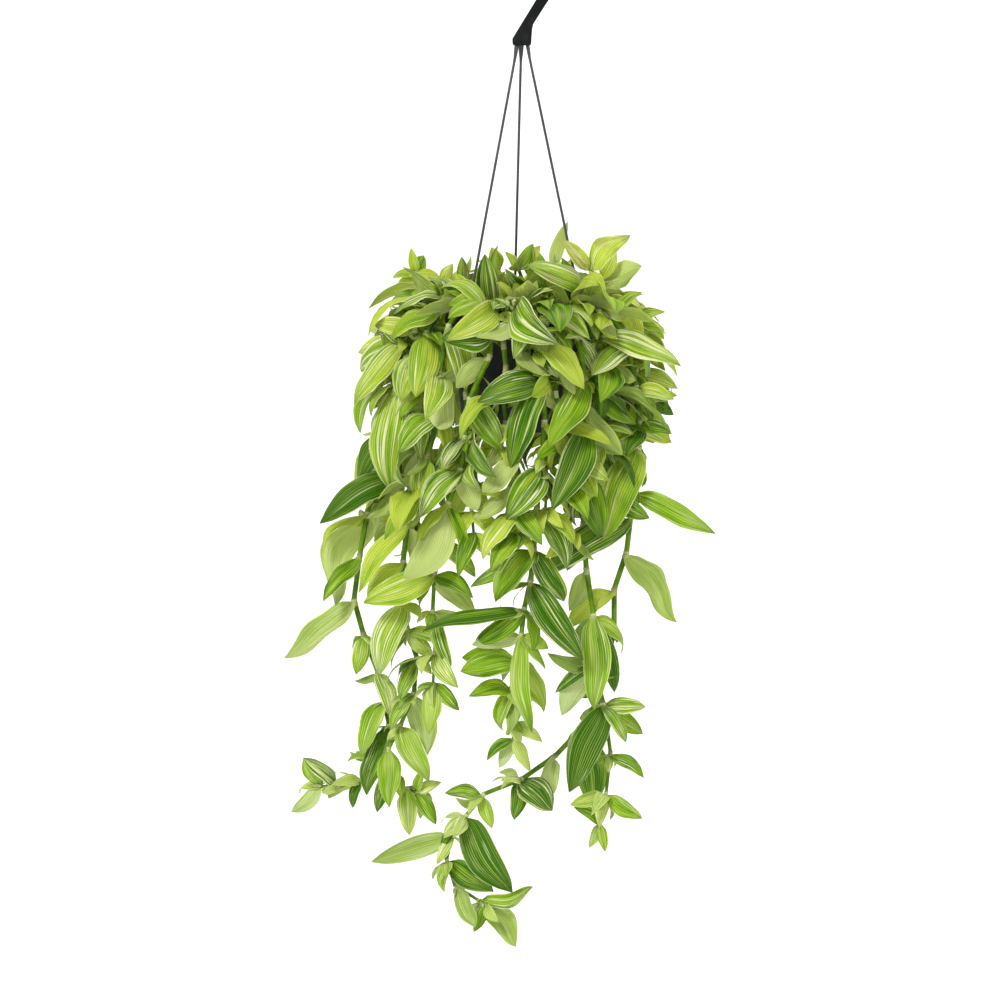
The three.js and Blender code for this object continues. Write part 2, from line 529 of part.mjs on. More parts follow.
function leavesOf(stem) {
  const random = randomFrom(stem.seed + 1000);
  const last = stem.joints.length - 1;
  const leaves = [];
  stem.joints.forEach((joint, i) => {
    if (i < 2) return;
    const tangent = stem.tangents[i];
    const out = outward(joint.p, stem.azimuth);
    const side = UP.clone().cross(out);
    const tips = joint.tips || [];
    const count = Math.max(tips.length, i === last ? 3 : 1);
    for (let k = 0; k < count; k++) {
      const r = [random(), random(), random(), random(), random(), random(), random()];
      const next = i === last ? tangent : stem.joints[i + 1].p.clone().sub(joint.p).normalize();
      const base = joint.p.clone().addScaledVector(next, i === last ? -2.5 : SHEATH);
      const leaf = { base, out, side, lean: tangent, upright: Math.max(0, tangent.z) * 1.2 };
      const hand = (i + k) % 2 ? 1 : -1;
      if (tips[k]) {
        const reach = tips[k].p.clone().sub(base);
        leaf.length = reach.length();
        leaf.along = reach.normalize();
        leaf.face = tips[k].face;
        leaf.traced = true;
        leaf.show = out.clone().multiplyScalar(0.35).addScaledVector(FRONT, 0.9);
        leaf.upright = 0;
      } else {
        const young = Math.min(1, 0.55 + 0.15 * (last - i));
        leaf.length = (58 + 28 * r[0]) * young * (k ? 0.8 : 1) * (stem.leafSize || 1);
        const fall = tangent.clone().addScaledVector(UP, -0.7).normalize();
        const spread = rad((26 + 40 * r[1]) * (k ? 0.6 : 1)) * hand;
        const lift = rad(8 + 38 * r[2]);
        leaf.along = fall.multiplyScalar(Math.cos(spread)).addScaledVector(side, Math.sin(spread));
        leaf.along.normalize().multiplyScalar(Math.cos(lift)).addScaledVector(out, Math.sin(lift));
        leaf.along.normalize();
        leaf.face = r[6] < 0.14 ? -1 : 1;
        leaf.show = out;
      }
      leaf.width = Math.min(0.43 * leaf.length, 24 + 0.13 * leaf.length) * (0.92 + 0.2 * r[3]);
      if (tips[k] && tips[k].width) leaf.width = tips[k].width;
      leaf.arch = 0.08 + 0.12 * r[4];
      leaf.roll = (r[5] - 0.5) * (leaf.traced ? 0.8 : 1.7);
      leaf.fold = r[6] < 0.5 ? -0.28 : 0.22;
      leaves.push(leaf);
    }
  });
  return leaves;
}

// whether a blade reaches past the plant's outline on the sheet
function strays(b) {
  const tip = midrib(b, 1);
  const x = tip.x + SHEET_X;
  const y = -(tip.z + SHEET_TIP * tip.y) - SHEET_Y;
  const [, left, right] = EDGES.find(([bottom]) => y < bottom);
  return x < left || x > right;
}
// whether a blade in front of the pot hides one of the places where the pot shows
function hides(b) {
  return [0.15, 0.35, 0.55, 0.75, 0.95].some((t) => {
    const m = midrib(b, t);
    const half = (b.width / 2) * bladeWidth(t) * 0.8;
    const x = m.x + SHEET_X;
    const y = -(m.z + SHEET_TIP * m.y) - SHEET_Y;
    const over = ([wx, wy, w, h]) => Math.hypot((x - wx) / (w + half), (y - wy) / (h + half)) < 1;
    return m.y < 0 && WINDOWS.some(over);
  });
}

const near = (a, b, gap) => [0, 1, 2].every((k) => a.min[k] - gap < b.max[k] && b.min[k] - gap < a.max[k]);
function fits(stem, whole, outer) {
  const wholeBox = box(whole);
  const outerBox = box(outer);
  for (const other of placed) {
    if (other.owner !== stem.name) {
      if (near(wholeBox, other.box, CLEAR) && whole.minGap(other.body, CLEAR) < CLEAR * 0.98) return false;
    } else if (near(outerBox, other.outerBox || other.box, CLEAR)) {
      if (outer.minGap(other.outer || other.body, CLEAR) < CLEAR * 0.98) return false;
    }
  }
  return true;
}
for (const stem of stems) {
  stem.leaves = leavesOf(stem);
  stem.blades = [];
}
let dropped = 0;
for (const traced of [true, false])
  for (const stem of stems)
    for (const leaf of stem.leaves) {
      if (Boolean(leaf.traced) !== traced) continue;
      let done = false;
      for (let bend = 0; bend < BENDS.length && !done; bend++) {
        const shape = bladeShape(leaf, bend);
        if (!traced && (strays(shape) || hides(shape))) continue;
        const outer = bladeBody(shape, false);
        const whole = bladeBody(shape, true);
        if (!fits(stem, whole, outer)) continue;
        placed.push({ owner: stem.name, body: whole, box: box(whole), outer, outerBox: box(outer) });
        stem.blades.push(whole);
        done = true;
      }
      if (!done) dropped++;
    }

for (const stem of stems) {
  const fused = stem.blades.reduce((all, blade) => all.add(blade), stem.body);
  add(stem.name, fused.asOriginal().simplify(SLIVER), LEAF_MATERIAL);
}
group.userData = { leaves: stems.reduce((n, s) => n + s.blades.length, 0), dropped };

export default group;
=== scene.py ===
import json
import math

import bpy
import bmesh
import numpy as np
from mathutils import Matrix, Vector, bvhtree, kdtree, noise

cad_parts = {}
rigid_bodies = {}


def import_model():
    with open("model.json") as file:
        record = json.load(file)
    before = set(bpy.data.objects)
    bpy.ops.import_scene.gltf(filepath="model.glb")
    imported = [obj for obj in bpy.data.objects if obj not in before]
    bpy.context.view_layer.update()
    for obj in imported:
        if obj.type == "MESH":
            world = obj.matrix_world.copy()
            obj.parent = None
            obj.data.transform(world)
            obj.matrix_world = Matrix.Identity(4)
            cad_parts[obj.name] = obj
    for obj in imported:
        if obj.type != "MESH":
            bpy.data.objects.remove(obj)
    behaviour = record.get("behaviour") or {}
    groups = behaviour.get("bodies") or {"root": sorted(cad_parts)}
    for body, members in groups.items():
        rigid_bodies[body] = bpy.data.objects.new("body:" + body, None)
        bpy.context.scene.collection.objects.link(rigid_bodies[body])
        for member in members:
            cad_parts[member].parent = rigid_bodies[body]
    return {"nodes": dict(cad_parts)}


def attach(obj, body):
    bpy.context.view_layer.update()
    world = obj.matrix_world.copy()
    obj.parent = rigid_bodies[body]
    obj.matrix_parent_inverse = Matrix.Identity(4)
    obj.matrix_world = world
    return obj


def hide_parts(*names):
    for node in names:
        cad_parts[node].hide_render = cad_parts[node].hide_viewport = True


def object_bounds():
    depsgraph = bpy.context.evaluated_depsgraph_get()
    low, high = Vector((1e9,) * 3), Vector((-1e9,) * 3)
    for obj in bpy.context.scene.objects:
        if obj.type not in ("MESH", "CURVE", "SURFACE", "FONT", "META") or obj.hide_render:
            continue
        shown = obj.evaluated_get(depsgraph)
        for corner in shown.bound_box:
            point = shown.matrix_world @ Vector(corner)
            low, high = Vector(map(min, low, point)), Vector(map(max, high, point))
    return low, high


# Potted tradescantia in a hanging pot. Shapes are worked out in millimetres, as the solids are, and
# every mesh is made in metres. The origin is on the seat inside the hook, the plant is seen from -Y.
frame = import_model()
cadLow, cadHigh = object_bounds()
print("frame:", len(frame["nodes"]), "CAD nodes")

mm = 0.001
up = np.array([0.0, 0.0, 1.0])
front = np.array([0.0, -1.0, 0.0])


def unit(v):
    return v / np.linalg.norm(v)


def smooth(x, low, high):
    s = np.clip((x - low) / (high - low), 0, 1)
    return s * s * (3 - 2 * s)


def chance(pair, share):
    # a least value and a share of what may be added to it
    return pair[0] + pair[1] * share


def outward(degrees):
    # the level directions out and across at a bearing, clockwise from +Y
    turn = math.radians(degrees)
    return np.array([math.sin(turn), math.cos(turn), 0]), np.array([math.cos(turn), -math.sin(turn), 0])


def addObject(name, data):
    obj = bpy.data.objects.new(name, data)
    bpy.context.scene.collection.objects.link(obj)
    return obj


def makeMesh(name, points, faces, materials, faceMaterial=None, uvs=None):
    # points in millimetres; uvs has one pair per face corner
    mesh = bpy.data.meshes.new(name)
    mesh.from_pydata((np.asarray(points) * mm).tolist(), [], faces)
    for mat in materials:
        mesh.materials.append(mat)
    if faceMaterial is not None:
        mesh.polygons.foreach_set("material_index", np.asarray(faceMaterial, np.int32))
    if uvs is not None:
        layer = mesh.uv_layers.new(name="plantUv")
        layer.data.foreach_set("uv", np.asarray(uvs, np.float32).ravel())
    mesh.polygons.foreach_set("use_smooth", [True] * len(mesh.polygons))
    mesh.update()
    return addObject(name, mesh)


def sharpen(obj, degrees):
    # edges that turn more than this keep a crisp line
    bm = bmesh.new()
    bm.from_mesh(obj.data)
    for edge in bm.edges:
        if len(edge.link_faces) == 2:
            edge.smooth = edge.calc_face_angle(0) < math.radians(degrees)
    bm.to_mesh(obj.data)
    bm.free()


def latheRings(profile, segments):
    # rings of points round Z; a radius of zero still gets a full ring, welded afterwards
    turn = np.linspace(0, 2 * math.pi, segments, endpoint=False)
    points = []
    for radius, z in profile:
        points.append(np.stack([radius * np.sin(turn), radius * np.cos(turn), np.full(segments, z)], 1))
    return np.concatenate(points)


def gridFaces(rings, around, capped=False):
    # quads between rings of points, and a face over the first and the last ring of a capped tube
    faces = []
    for a in range(0, (rings - 1) * around, around):
        for k in range(around):
            n = (k + 1) % around
            faces.append((a + k, a + n, a + around + n, a + around + k))
    if capped:
        faces.append(tuple(range(around)))
        faces.append(tuple(range(rings * around - 1, (rings - 1) * around - 1, -1)))
    return faces


def weld(obj, distance=1e-6):
    bm = bmesh.new()
    bm.from_mesh(obj.data)
    bmesh.ops.remove_doubles(bm, verts=bm.verts, dist=distance)
    bmesh.ops.dissolve_degenerate(bm, edges=bm.edges, dist=distance)
    bmesh.ops.recalc_face_normals(bm, faces=bm.faces)
    bm.to_mesh(obj.data)
    bm.free()


def combine(obj, others, operation, material):
    # joins on or cuts away the other objects, which are then removed
    for other in others:
        step = obj.modifiers.new(other.name, "BOOLEAN")
        step.operation = operation
        step.solver = "EXACT"
        step.object = other
    bpy.context.view_layer.update()
    graph = bpy.context.evaluated_depsgraph_get()
    mesh = bpy.data.meshes.new_from_object(obj.evaluated_get(graph))
    spent = [obj.data] + [other.data for other in others]
    obj.modifiers.clear()
    obj.data = mesh
    for other in others:
        bpy.data.objects.remove(other)
    for old in spent:
        bpy.data.meshes.remove(old)
    mesh.name = obj.name
    mesh.materials.clear()
    mesh.materials.append(material)
    mesh.polygons.foreach_set("material_index", [0] * len(mesh.polygons))
    mesh.polygons.foreach_set("use_smooth", [True] * len(mesh.polygons))


def settle(obj, slot, *nodes):
    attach(obj, "root")
    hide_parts(*nodes)
    return obj


def node(tree, kind, **settings):
    made = tree.nodes.new(kind)
    for key, value in settings.items():
        setattr(made, key, value)
    return made


def feed(socket, value):
    # value is a number, a colour or another node's output
    if isinstance(value, bpy.types.NodeSocket):
        socket.id_data.links.new(value, socket)
    else:
        socket.default_value = value


def connect(kind, values, **settings):
    # a new node, in the tree of the first of its values that is another node's output
    tree = next(value.id_data for value in values.values() if isinstance(value, bpy.types.NodeSocket))
    made = node(tree, kind, **settings)
    for key, value in values.items():
        feed(made.inputs[key], value)
    return made.outputs


def calculate(operation, *values):
    return connect("ShaderNodeMath", dict(enumerate(values)), operation=operation)[0]


def times(*values):
    return calculate("MULTIPLY", *values)


def plus(*values):
    return calculate("ADD", *values)


def minus(*values):
    return calculate("SUBTRACT", *values)


def ramp(value, low, high, toLow=0.0, toHigh=1.0):
    values = dict(enumerate((value, low, high, toLow, toHigh)))
    return connect("ShaderNodeMapRange", values, interpolation_type="SMOOTHSTEP")[0]


def mixColours(amount, first, second, blend="MIX"):
    values = {"Factor": amount, 6: first, 7: second}
    return connect("ShaderNodeMix", values, data_type="RGBA", blend_type=blend)[2]


def noiseAt(vector, scale, detail=2.0, roughness=0.5):
    values = {"Vector": vector, "Scale": scale, "Detail": detail, "Roughness": roughness}
    return connect("ShaderNodeTexNoise", values, noise_dimensions="3D")["Fac"]


def vectorOf(x, y, z):
    return connect("ShaderNodeCombineXYZ", dict(enumerate((x, y, z))))[0]


def axesOf(vector):
    return connect("ShaderNodeSeparateXYZ", {0: vector})


def startMaterial(name):
    # a new material, its shader and the place on the object
    mat = bpy.data.materials.new(name)
    mat.use_nodes = True
    spot = node(mat.node_tree, "ShaderNodeTexCoord").outputs["Object"]
    return mat, mat.node_tree.nodes["Principled BSDF"], spot


def finishShader(shader, colour, roughness, gloss, height, bump, depth):
    feed(shader.inputs["Base Color"], colour)
    feed(shader.inputs["Roughness"], roughness)
    feed(shader.inputs["Specular IOR Level"], gloss)
    normal = connect("ShaderNodeBump", {"Strength": bump, "Distance": depth, "Height": height})[0]
    feed(shader.inputs["Normal"], normal)
    return normal


# The camera stands where the photo was taken, before a pale floor far below the plant.
studio = {
    "lens": 144,
    "distance": 4.0,
    "elevation": 8,
    "aim": (-0.0215, 0, -0.552),
    "clip": 600,
    "floorHeight": -3.0,
    "floorSize": 500,
    "floorColour": (0.94, 0.94, 0.935, 1),
    "floorShade": (0.925, 0.925, 0.925, 1),
    "floorRoughness": 0.9,
    "worldColour": (1, 1, 1, 1),
    "worldStrength": (0.55, 1.05),  # overhead and near the horizon, where it's seen past the floor's end
    "horizon": (0.12, 0.30),
    "lights": {  # where each soft light comes from, its strength and how wide it is, in degrees
        "keyLight": ((-0.75, -1.1, 1.15), 2.38, 18),
        "backLight": ((0.9, 1.0, 1.5), 1.7, 25),
        "sideLight": ((1.2, -0.9, 0.2), 0.45, 60),
    },
}


def buildStudio():
    scene = bpy.context.scene
    scene.view_settings.view_transform = "Standard"
    world = bpy.data.worlds.new("studioWorld")
    world.use_nodes = True
    sky = world.node_tree.nodes["Background"]
    feed(sky.inputs["Color"], studio["worldColour"])
    direction = axesOf(node(world.node_tree, "ShaderNodeTexCoord").outputs["Generated"])
    overhead, low = studio["worldStrength"]
    feed(sky.inputs["Strength"], ramp(calculate("ABSOLUTE", direction[2]), *studio["horizon"], low, overhead))
    scene.world = world

    half = studio["floorSize"] / 2 / mm
    z = studio["floorHeight"] / mm
    mat, shader, spot = startMaterial("paleFloor")
    tint = ramp(noiseAt(spot, 3.0), 0.3, 0.7)
    feed(shader.inputs["Base Color"], mixColours(tint, studio["floorColour"], studio["floorShade"]))
    feed(shader.inputs["Roughness"], studio["floorRoughness"])
    corners = [(-half, -half, z), (half, -half, z), (half, half, z), (-half, half, z)]
    floor = makeMesh("studioFloor", corners, [(0, 1, 2, 3)], [mat])

    aim = Vector(studio["aim"])
    for name, (source, strength, width) in studio["lights"].items():
        lamp = addObject(name, bpy.data.lights.new(name, "SUN"))
        lamp.data.energy = strength
        lamp.data.angle = math.radians(width)
        lamp.location = aim + Vector(source)
        lamp.rotation_euler = (-Vector(source)).to_track_quat("-Z", "Y").to_euler()

    rise = math.radians(studio["elevation"])
    camera = addObject("photoCamera", bpy.data.cameras.new("photoCamera"))
    camera.data.lens = studio["lens"]
    camera.data.clip_end = studio["clip"]
    camera.location = aim + studio["distance"] * Vector((0, -math.cos(rise), math.sin(rise)))
    camera.rotation_euler = (aim - camera.location).to_track_quat("-Z", "Y").to_euler()
    scene.camera = camera


buildStudio()
print("studio: camera, floor and", len(studio["lights"]), "lights")


hubLook = {
    "colour": (0.0050, 0.0060, 0.0054, 1),
    "dustColour": (0.012, 0.015, 0.013, 1),
    "gloss": 0.10,
    "roughness": (0.42, 0.62),
    "grain": 0.00012,
    "grainScale": 1500,
}
legLook = {
    "colour": (0.030, 0.031, 0.032, 1),
    "dustColour": (0.075, 0.066, 0.064, 1),
    "gloss": 0.5,
    "roughness": (0.42, 0.62),
    "grain": 0.00012,
    "grainScale": 1800,
}
hookSize = {
    "inner": 27,  # inside radius of the hook, up to its seat
    "strapWidth": 11,
    "strapDepth": 6.4,
    "hubBottom": -100,
    "bevel": 0.9,
    "crisp": 32,  # degrees that an edge turns from which it stays sharp
    "arc": (-25.5, 189),  # bearings at which the bend starts and ends
    "arcSteps": 60,
    "rootEdge": [(8.6, 0.6), (9.2, 8), (10.4, 17.5), (11.4, 21)],  # heights over the hub's bottom
    "otherEdge": [(-9.3, 6.6), (-9.3, 3), (-8, 0.6)],
    "tipEdge": [(-40.2, -42.4), (-44.0, -47.6), (-44.2, -49.2), (-43.2, -50.5), (-41.6, -51.0),
                (-40.2, -50.6), (-36.6, -48.4), (-30.4, -40.6)],
    "hub": [  # height over the bottom, left, right, half depth, corner
        (21.5, 0.2, 11.4, 2.9, 0.5), (19, -1.3, 10.9, 3.35, 0.6), (16, -3.0, 10.2, 3.9, 0.8),
        (12, -5.6, 9.9, 5.4, 1.0), (8, -8.2, 9.6, 7.2, 1.2), (5.6, -9.35, 9.45, 8.5, 1.3),
        (3, -9.35, 9.3, 8.9, 1.4), (0.9, -9.0, 8.9, 8.7, 1.6), (0, -8.2, 8.1, 7.9, 1.9),
    ],
    "cornerSteps": 6,
}
legSize = {
    "azimuths": {"back": -6, "right": 114, "left": 234},  # clockwise from +Y, seen from above
    "topRadius": 6.2,
    "footRadius": 66,
    "rod": 1.32,
    "rodSlope": 12.5,
    "rodSteps": 14,
    "headWidth": 2.75,
    "headLength": 17,
    "crisp": 50,
    "sides": 20,
}
potSize = {
    "rim": -366,
    "rimRadius": 76,
    "lip": 12,
    "wall": 2,
    "crisp": 30,
    "neckRadius": 71,
    "base": -478,
    "baseRadius": 58.5,
    "slotHeight": -382.5,
    "slotWidth": 8,
    "slotTall": 6,
    "slotReach": (-5, 3.4),  # from the neck, inward and outward
    "drainHoles": 6,
    "drainRadius": 5,
    "drainRing": 38,
    "drainTurn": 30,
    "drainSides": 32,
    "segments": 96,
}


def plasticMaterial(name, look):
    # moulded plastic: fine grain, faint flow marks and drier patches
    mat, shader, spot = startMaterial(name)
    patches = noiseAt(spot, 60.0, 4.0, 0.6)
    speckle = noiseAt(spot, look["grainScale"], 2.0, 0.5)
    colour = mixColours(ramp(patches, 0.48, 0.75), look["colour"], look["dustColour"])
    rough = ramp(patches, 0.3, 0.7, *look["roughness"])
    finishShader(shader, colour, rough, look["gloss"], speckle, 0.5, look["grain"])
    return mat


hubPlastic = plasticMaterial("hubPlastic", hubLook)
legPlastic = plasticMaterial("legPlastic", legLook)


def buildHook():
    # a flat strap bent over into a wide hook, and a hub that flares out to the three leg heads
    size = hookSize
    bottom = size["hubBottom"]
    inner = size["inner"]
    bearings = [math.radians(b) for b in np.linspace(*size["arc"], size["arcSteps"])]

    def arc(radius, angles):
        return [(radius * math.cos(a), -inner + radius * math.sin(a)) for a in angles]

    outline = [(x, bottom + z) for x, z in size["rootEdge"]] + arc(inner + size["strapWidth"], bearings)
    outline += size["tipEdge"] + arc(inner, reversed(bearings))
    outline += [(x, bottom + z) for x, z in size["otherEdge"]]
    bm = bmesh.new()
    ring = [bm.verts.new((x * mm, -size["strapDepth"] / 2 * mm, z * mm)) for x, z in outline]
    moved = bmesh.ops.extrude_face_region(bm, geom=[bm.faces.new(ring)])["geom"]
    back = [v for v in moved if isinstance(v, bmesh.types.BMVert)]
    bmesh.ops.translate(bm, verts=back, vec=(0, size["strapDepth"] * mm, 0))
    bmesh.ops.recalc_face_normals(bm, faces=bm.faces)
    rims = [e for e in bm.edges if abs(e.verts[0].co.y - e.verts[1].co.y) < 1e-9]
    bmesh.ops.bevel(bm, geom=rims, offset=size["bevel"] * mm, segments=3, profile=0.5, affect="EDGES",
                    clamp_overlap=True)
    bmesh.ops.triangulate(bm, faces=[f for f in bm.faces if len(f.verts) > 4])
    mesh = bpy.data.meshes.new("hookStrap")
    bm.to_mesh(mesh)
    bm.free()
    strap = addObject("hookStrap", mesh)

    # hub: rounded rectangles from the strap's section down to the flat bottom
    points = []
    steps = size["cornerSteps"]
    for high, left, right, depth, corner in size["hub"]:
        centre = (left + right) / 2
        halfX = (right - left) / 2 - corner
        halfY = depth - corner
        for sideX, sideY, start in ((1, 1, 0), (-1, 1, 90), (-1, -1, 180), (1, -1, 270)):
            for step in range(steps):
                a = math.radians(start + step * 90 / (steps - 1))
                points.append((centre + sideX * halfX + corner * math.cos(a),
                               sideY * halfY + corner * math.sin(a), bottom + high))
    hub = makeMesh("hookHub", points, gridFaces(len(size["hub"]), 4 * steps, capped=True), [hubPlastic])
    weld(hub)
    combine(strap, [hub], "UNION", hubPlastic)
    sharpen(strap, size["crisp"])
    strap.name = "hookAndHub"
    settle(strap, "hanger_plastic", "hanger_hook")


def buildLeg(side, azimuth):
    # a thin rod with a flat forked head under the hub and a foot clipped through the pot's slot
    size = legSize
    bottom = hookSize["hubBottom"]
    rim, slot = potSize["rim"], potSize["slotHeight"]
    top, foot, rod, slope = size["topRadius"], size["footRadius"], size["rod"], size["rodSlope"]
    head = size["headWidth"]
    out, across = outward(azimuth)
    # radius, height, half width, half thickness, bearing of the ring from straight down, depth of fork
    rings = [
        (top, bottom + 5, 1.5, 1.5, 0, 0), (top, bottom + 0.2, 1.5, 1.5, 0, 0),
        (top, bottom - 0.1, 2.3, 2.0, 0, 0.2), (top + 0.05, bottom - 0.5, head, 2.1, 3, 0.45),
        (top + 0.5, bottom - 2.6, head * 0.95, 2.0, 9, 0.5),
        (top + 1.3, bottom - 7.5, head * 0.8, 1.8, 12, 0.45),
        (top + 2.1, bottom - 12, head * 0.62, 1.55, slope, 0.25),
        (top + 3.2, bottom - size["headLength"], rod, rod, slope, 0),
    ]
    topR, topZ = rings[-1][:2]
    for i in range(1, size["rodSteps"] + 1):
        s = i / size["rodSteps"]
        rings.append((topR + (foot - 0.6 - topR) * s, topZ + (rim + 6 - topZ) * s, rod, rod, slope, 0))
    rings += [
        (foot - 0.4, rim + 2, 1.5, 1.3, 9, 0), (foot - 0.2, rim - 2, 2, 1.45, 4, 0),
        (foot - 0.1, rim - 7, 2.8, 1.45, 5, 0), (foot, rim - 12, 3.4, 1.5, 8, 0),
        (foot + 0.4, slot + 2.6, 3.55, 1.6, 26, 0), (foot + 0.9, slot + 0.9, 3.6, 1.8, 45, 0),
        (foot + 1.8, slot + 0.2, 3.65, 2.3, 68, 0), (foot + 3, slot, 3.7, 2.7, 90, 0),
        (foot + 5.1, slot, 3.7, 2.7, 90, 0), (foot + 5.3, slot, 3.7, 3.3, 90, 0),
        (foot + 6.4, slot, 3.6, 3.3, 90, 0), (foot + 7.2, slot, 3.2, 2.9, 90, 0),
        (foot + 7.6, slot, 2.4, 2.1, 90, 0),
    ]
    points = []
    for radius, z, width, thick, bearing, fork in rings:
        b = math.radians(bearing)
        normal = out * math.cos(b) + up * math.sin(b)
        centre = out * radius + up * z
        for k in range(size["sides"]):
            a = 2 * math.pi * k / size["sides"]
            x, y = math.cos(a), math.sin(a)
            waist = 1 - fork * (1 - smooth(abs(x), 0.35, 0.8))
            points.append(centre + across * (width * x) + normal * (thick * y * waist))
    faces = gridFaces(len(rings), size["sides"], capped=True)
    leg = makeMesh("legRod_" + side, points, faces, [legPlastic])
    weld(leg, 1e-7)
    sharpen(leg, size["crisp"])
    settle(leg, "hanger_plastic", "hanger_leg_" + side)


buildHook()
for side, azimuth in legSize["azimuths"].items():
    buildLeg(side, azimuth)
print("hanger: hook, hub and", len(legSize["azimuths"]), "legs")


potLook = {
    "colour": (0.0280, 0.0290, 0.0340, 1),
    "dustColour": (0.050, 0.051, 0.056, 1),
    "gloss": 0.3,
    "roughness": (0.5, 0.68),
    "grain": 0.00018,
    "grainScale": 1100,
}


def buildPot():
    # thin tapered cup with a deep rolled lip, a bead inside it, a stepped foot, drain holes and leg slots
    size = potSize
    rim, wall, lip = size["rim"], size["wall"], size["lip"]
    neck, base = size["neckRadius"], size["base"]
    rimR, baseR = size["rimRadius"], size["baseRadius"]
    plastic = plasticMaterial("potPlastic", potLook)

    def wallAt(z, proud=0.0):
        return (baseR + (neck - baseR) / (rim - lip - base) * (z - base) + proud, z)

    profile = [
        (0, base + 1.2), (48, base + 1.2), (49, base), (baseR - 2.2, base), (baseR - 0.8, base + 0.4),
        wallAt(base + 1.8), wallAt(base + 9), wallAt(base + 9.6, 0.35), wallAt(base + 30), wallAt(base + 60),
        wallAt(rim - 34), wallAt(rim - 33.4, 0.3), wallAt(rim - 20), (neck, rim - lip), (neck, rim - wall),
        (rimR - wall, rim - wall - 0.2), (rimR - wall, rim - lip + 0.4), (rimR - wall + 0.4, rim - lip),
        (rimR - 0.4, rim - lip), (rimR, rim - lip + 0.5), (rimR, rim - 1.8), (rimR - 0.5, rim - 0.6),
        (rimR - 1.6, rim), (neck - wall + 0.9, rim), (neck - wall + 0.2, rim - 0.3), (neck - wall, rim - 1.2),
        (neck - wall, rim - lip), wallAt(rim - 34, -wall), (baseR - wall + 0.2, base + wall + 2.5),
        (baseR - wall - 1.2, base + wall + 0.3), (baseR - wall - 3, base + wall), (0, base + wall),
    ]
    faces = gridFaces(len(profile), size["segments"])
    pot = makeMesh("hangingPot", latheRings(profile, size["segments"]), faces, [plastic])
    weld(pot)
    cutters = []
    for azimuth in legSize["azimuths"].values():
        out, across = outward(azimuth)
        corners = []
        for depth in size["slotReach"]:
            for sideX, sideZ in ((-1, -1), (1, -1), (1, 1), (-1, 1)):
                corners.append(out * (neck + depth) + across * (sideX * size["slotWidth"] / 2)
                               + up * (size["slotHeight"] + sideZ * size["slotTall"] / 2))
        cutters.append(makeMesh("slotCutter", corners, gridFaces(2, 4, capped=True), []))
    for i in range(size["drainHoles"]):
        middle = outward(size["drainTurn"] + 360 * i / size["drainHoles"])[0] * size["drainRing"]
        drill = [(size["drainRadius"], base - 2), (size["drainRadius"], base + wall + 2)]
        sides = size["drainSides"]
        cutters.append(makeMesh("drainCutter", latheRings(drill, sides) + middle,
                                gridFaces(2, sides, capped=True), []))
    for cutter in cutters:
        weld(cutter)
    combine(pot, cutters, "DIFFERENCE", plastic)
    sharpen(pot, size["crisp"])
    return settle(pot, "pot_plastic", "pot")


pot = buildPot()
print("pot:", len(pot.data.polygons), "faces")


soilSize = {
    "top": -388,
    "gap": 0.3,
    "holeDepth": 14,
    "rings": 34,
    "wallRings": 8,
    "around": 110,
    "bump": 2.2,
    "crumbs": 240,
    "crumbSeed": 41,
    "crumbRadius": (0.7, 1.7),  # pairs are a least value and what chance adds to it
    "crumbStretch": (0.6, 0.7),
    "crumbRough": (0.8, 0.4),
    "crumbsReach": 0.96,
}
soilLook = {
    "darkColour": (0.018, 0.012, 0.008, 1),
    "midColour": (0.060, 0.040, 0.026, 1),
    "fibreColour": (0.16, 0.11, 0.065, 1),
    "roughness": 0.95,
    "gloss": 0.5,
}


def soilMaterial():
    mat, shader, spot = startMaterial("pottingSoil")
    clods = noiseAt(spot, 180.0, 6.0, 0.7)
    crumbs = connect("ShaderNodeTexVoronoi", {"Vector": spot, "Scale": 420})["Distance"]
    fibres = noiseAt(spot, 900.0, 3.0, 0.8)
    colour = mixColours(ramp(clods, 0.35, 0.65), soilLook["darkColour"], soilLook["midColour"])
    colour = mixColours(ramp(fibres, 0.62, 0.72), colour, soilLook["fibreColour"])
    finishShader(shader, colour, soilLook["roughness"], soilLook["gloss"], plus(clods, crumbs), 0.8, 0.0015)
    return mat


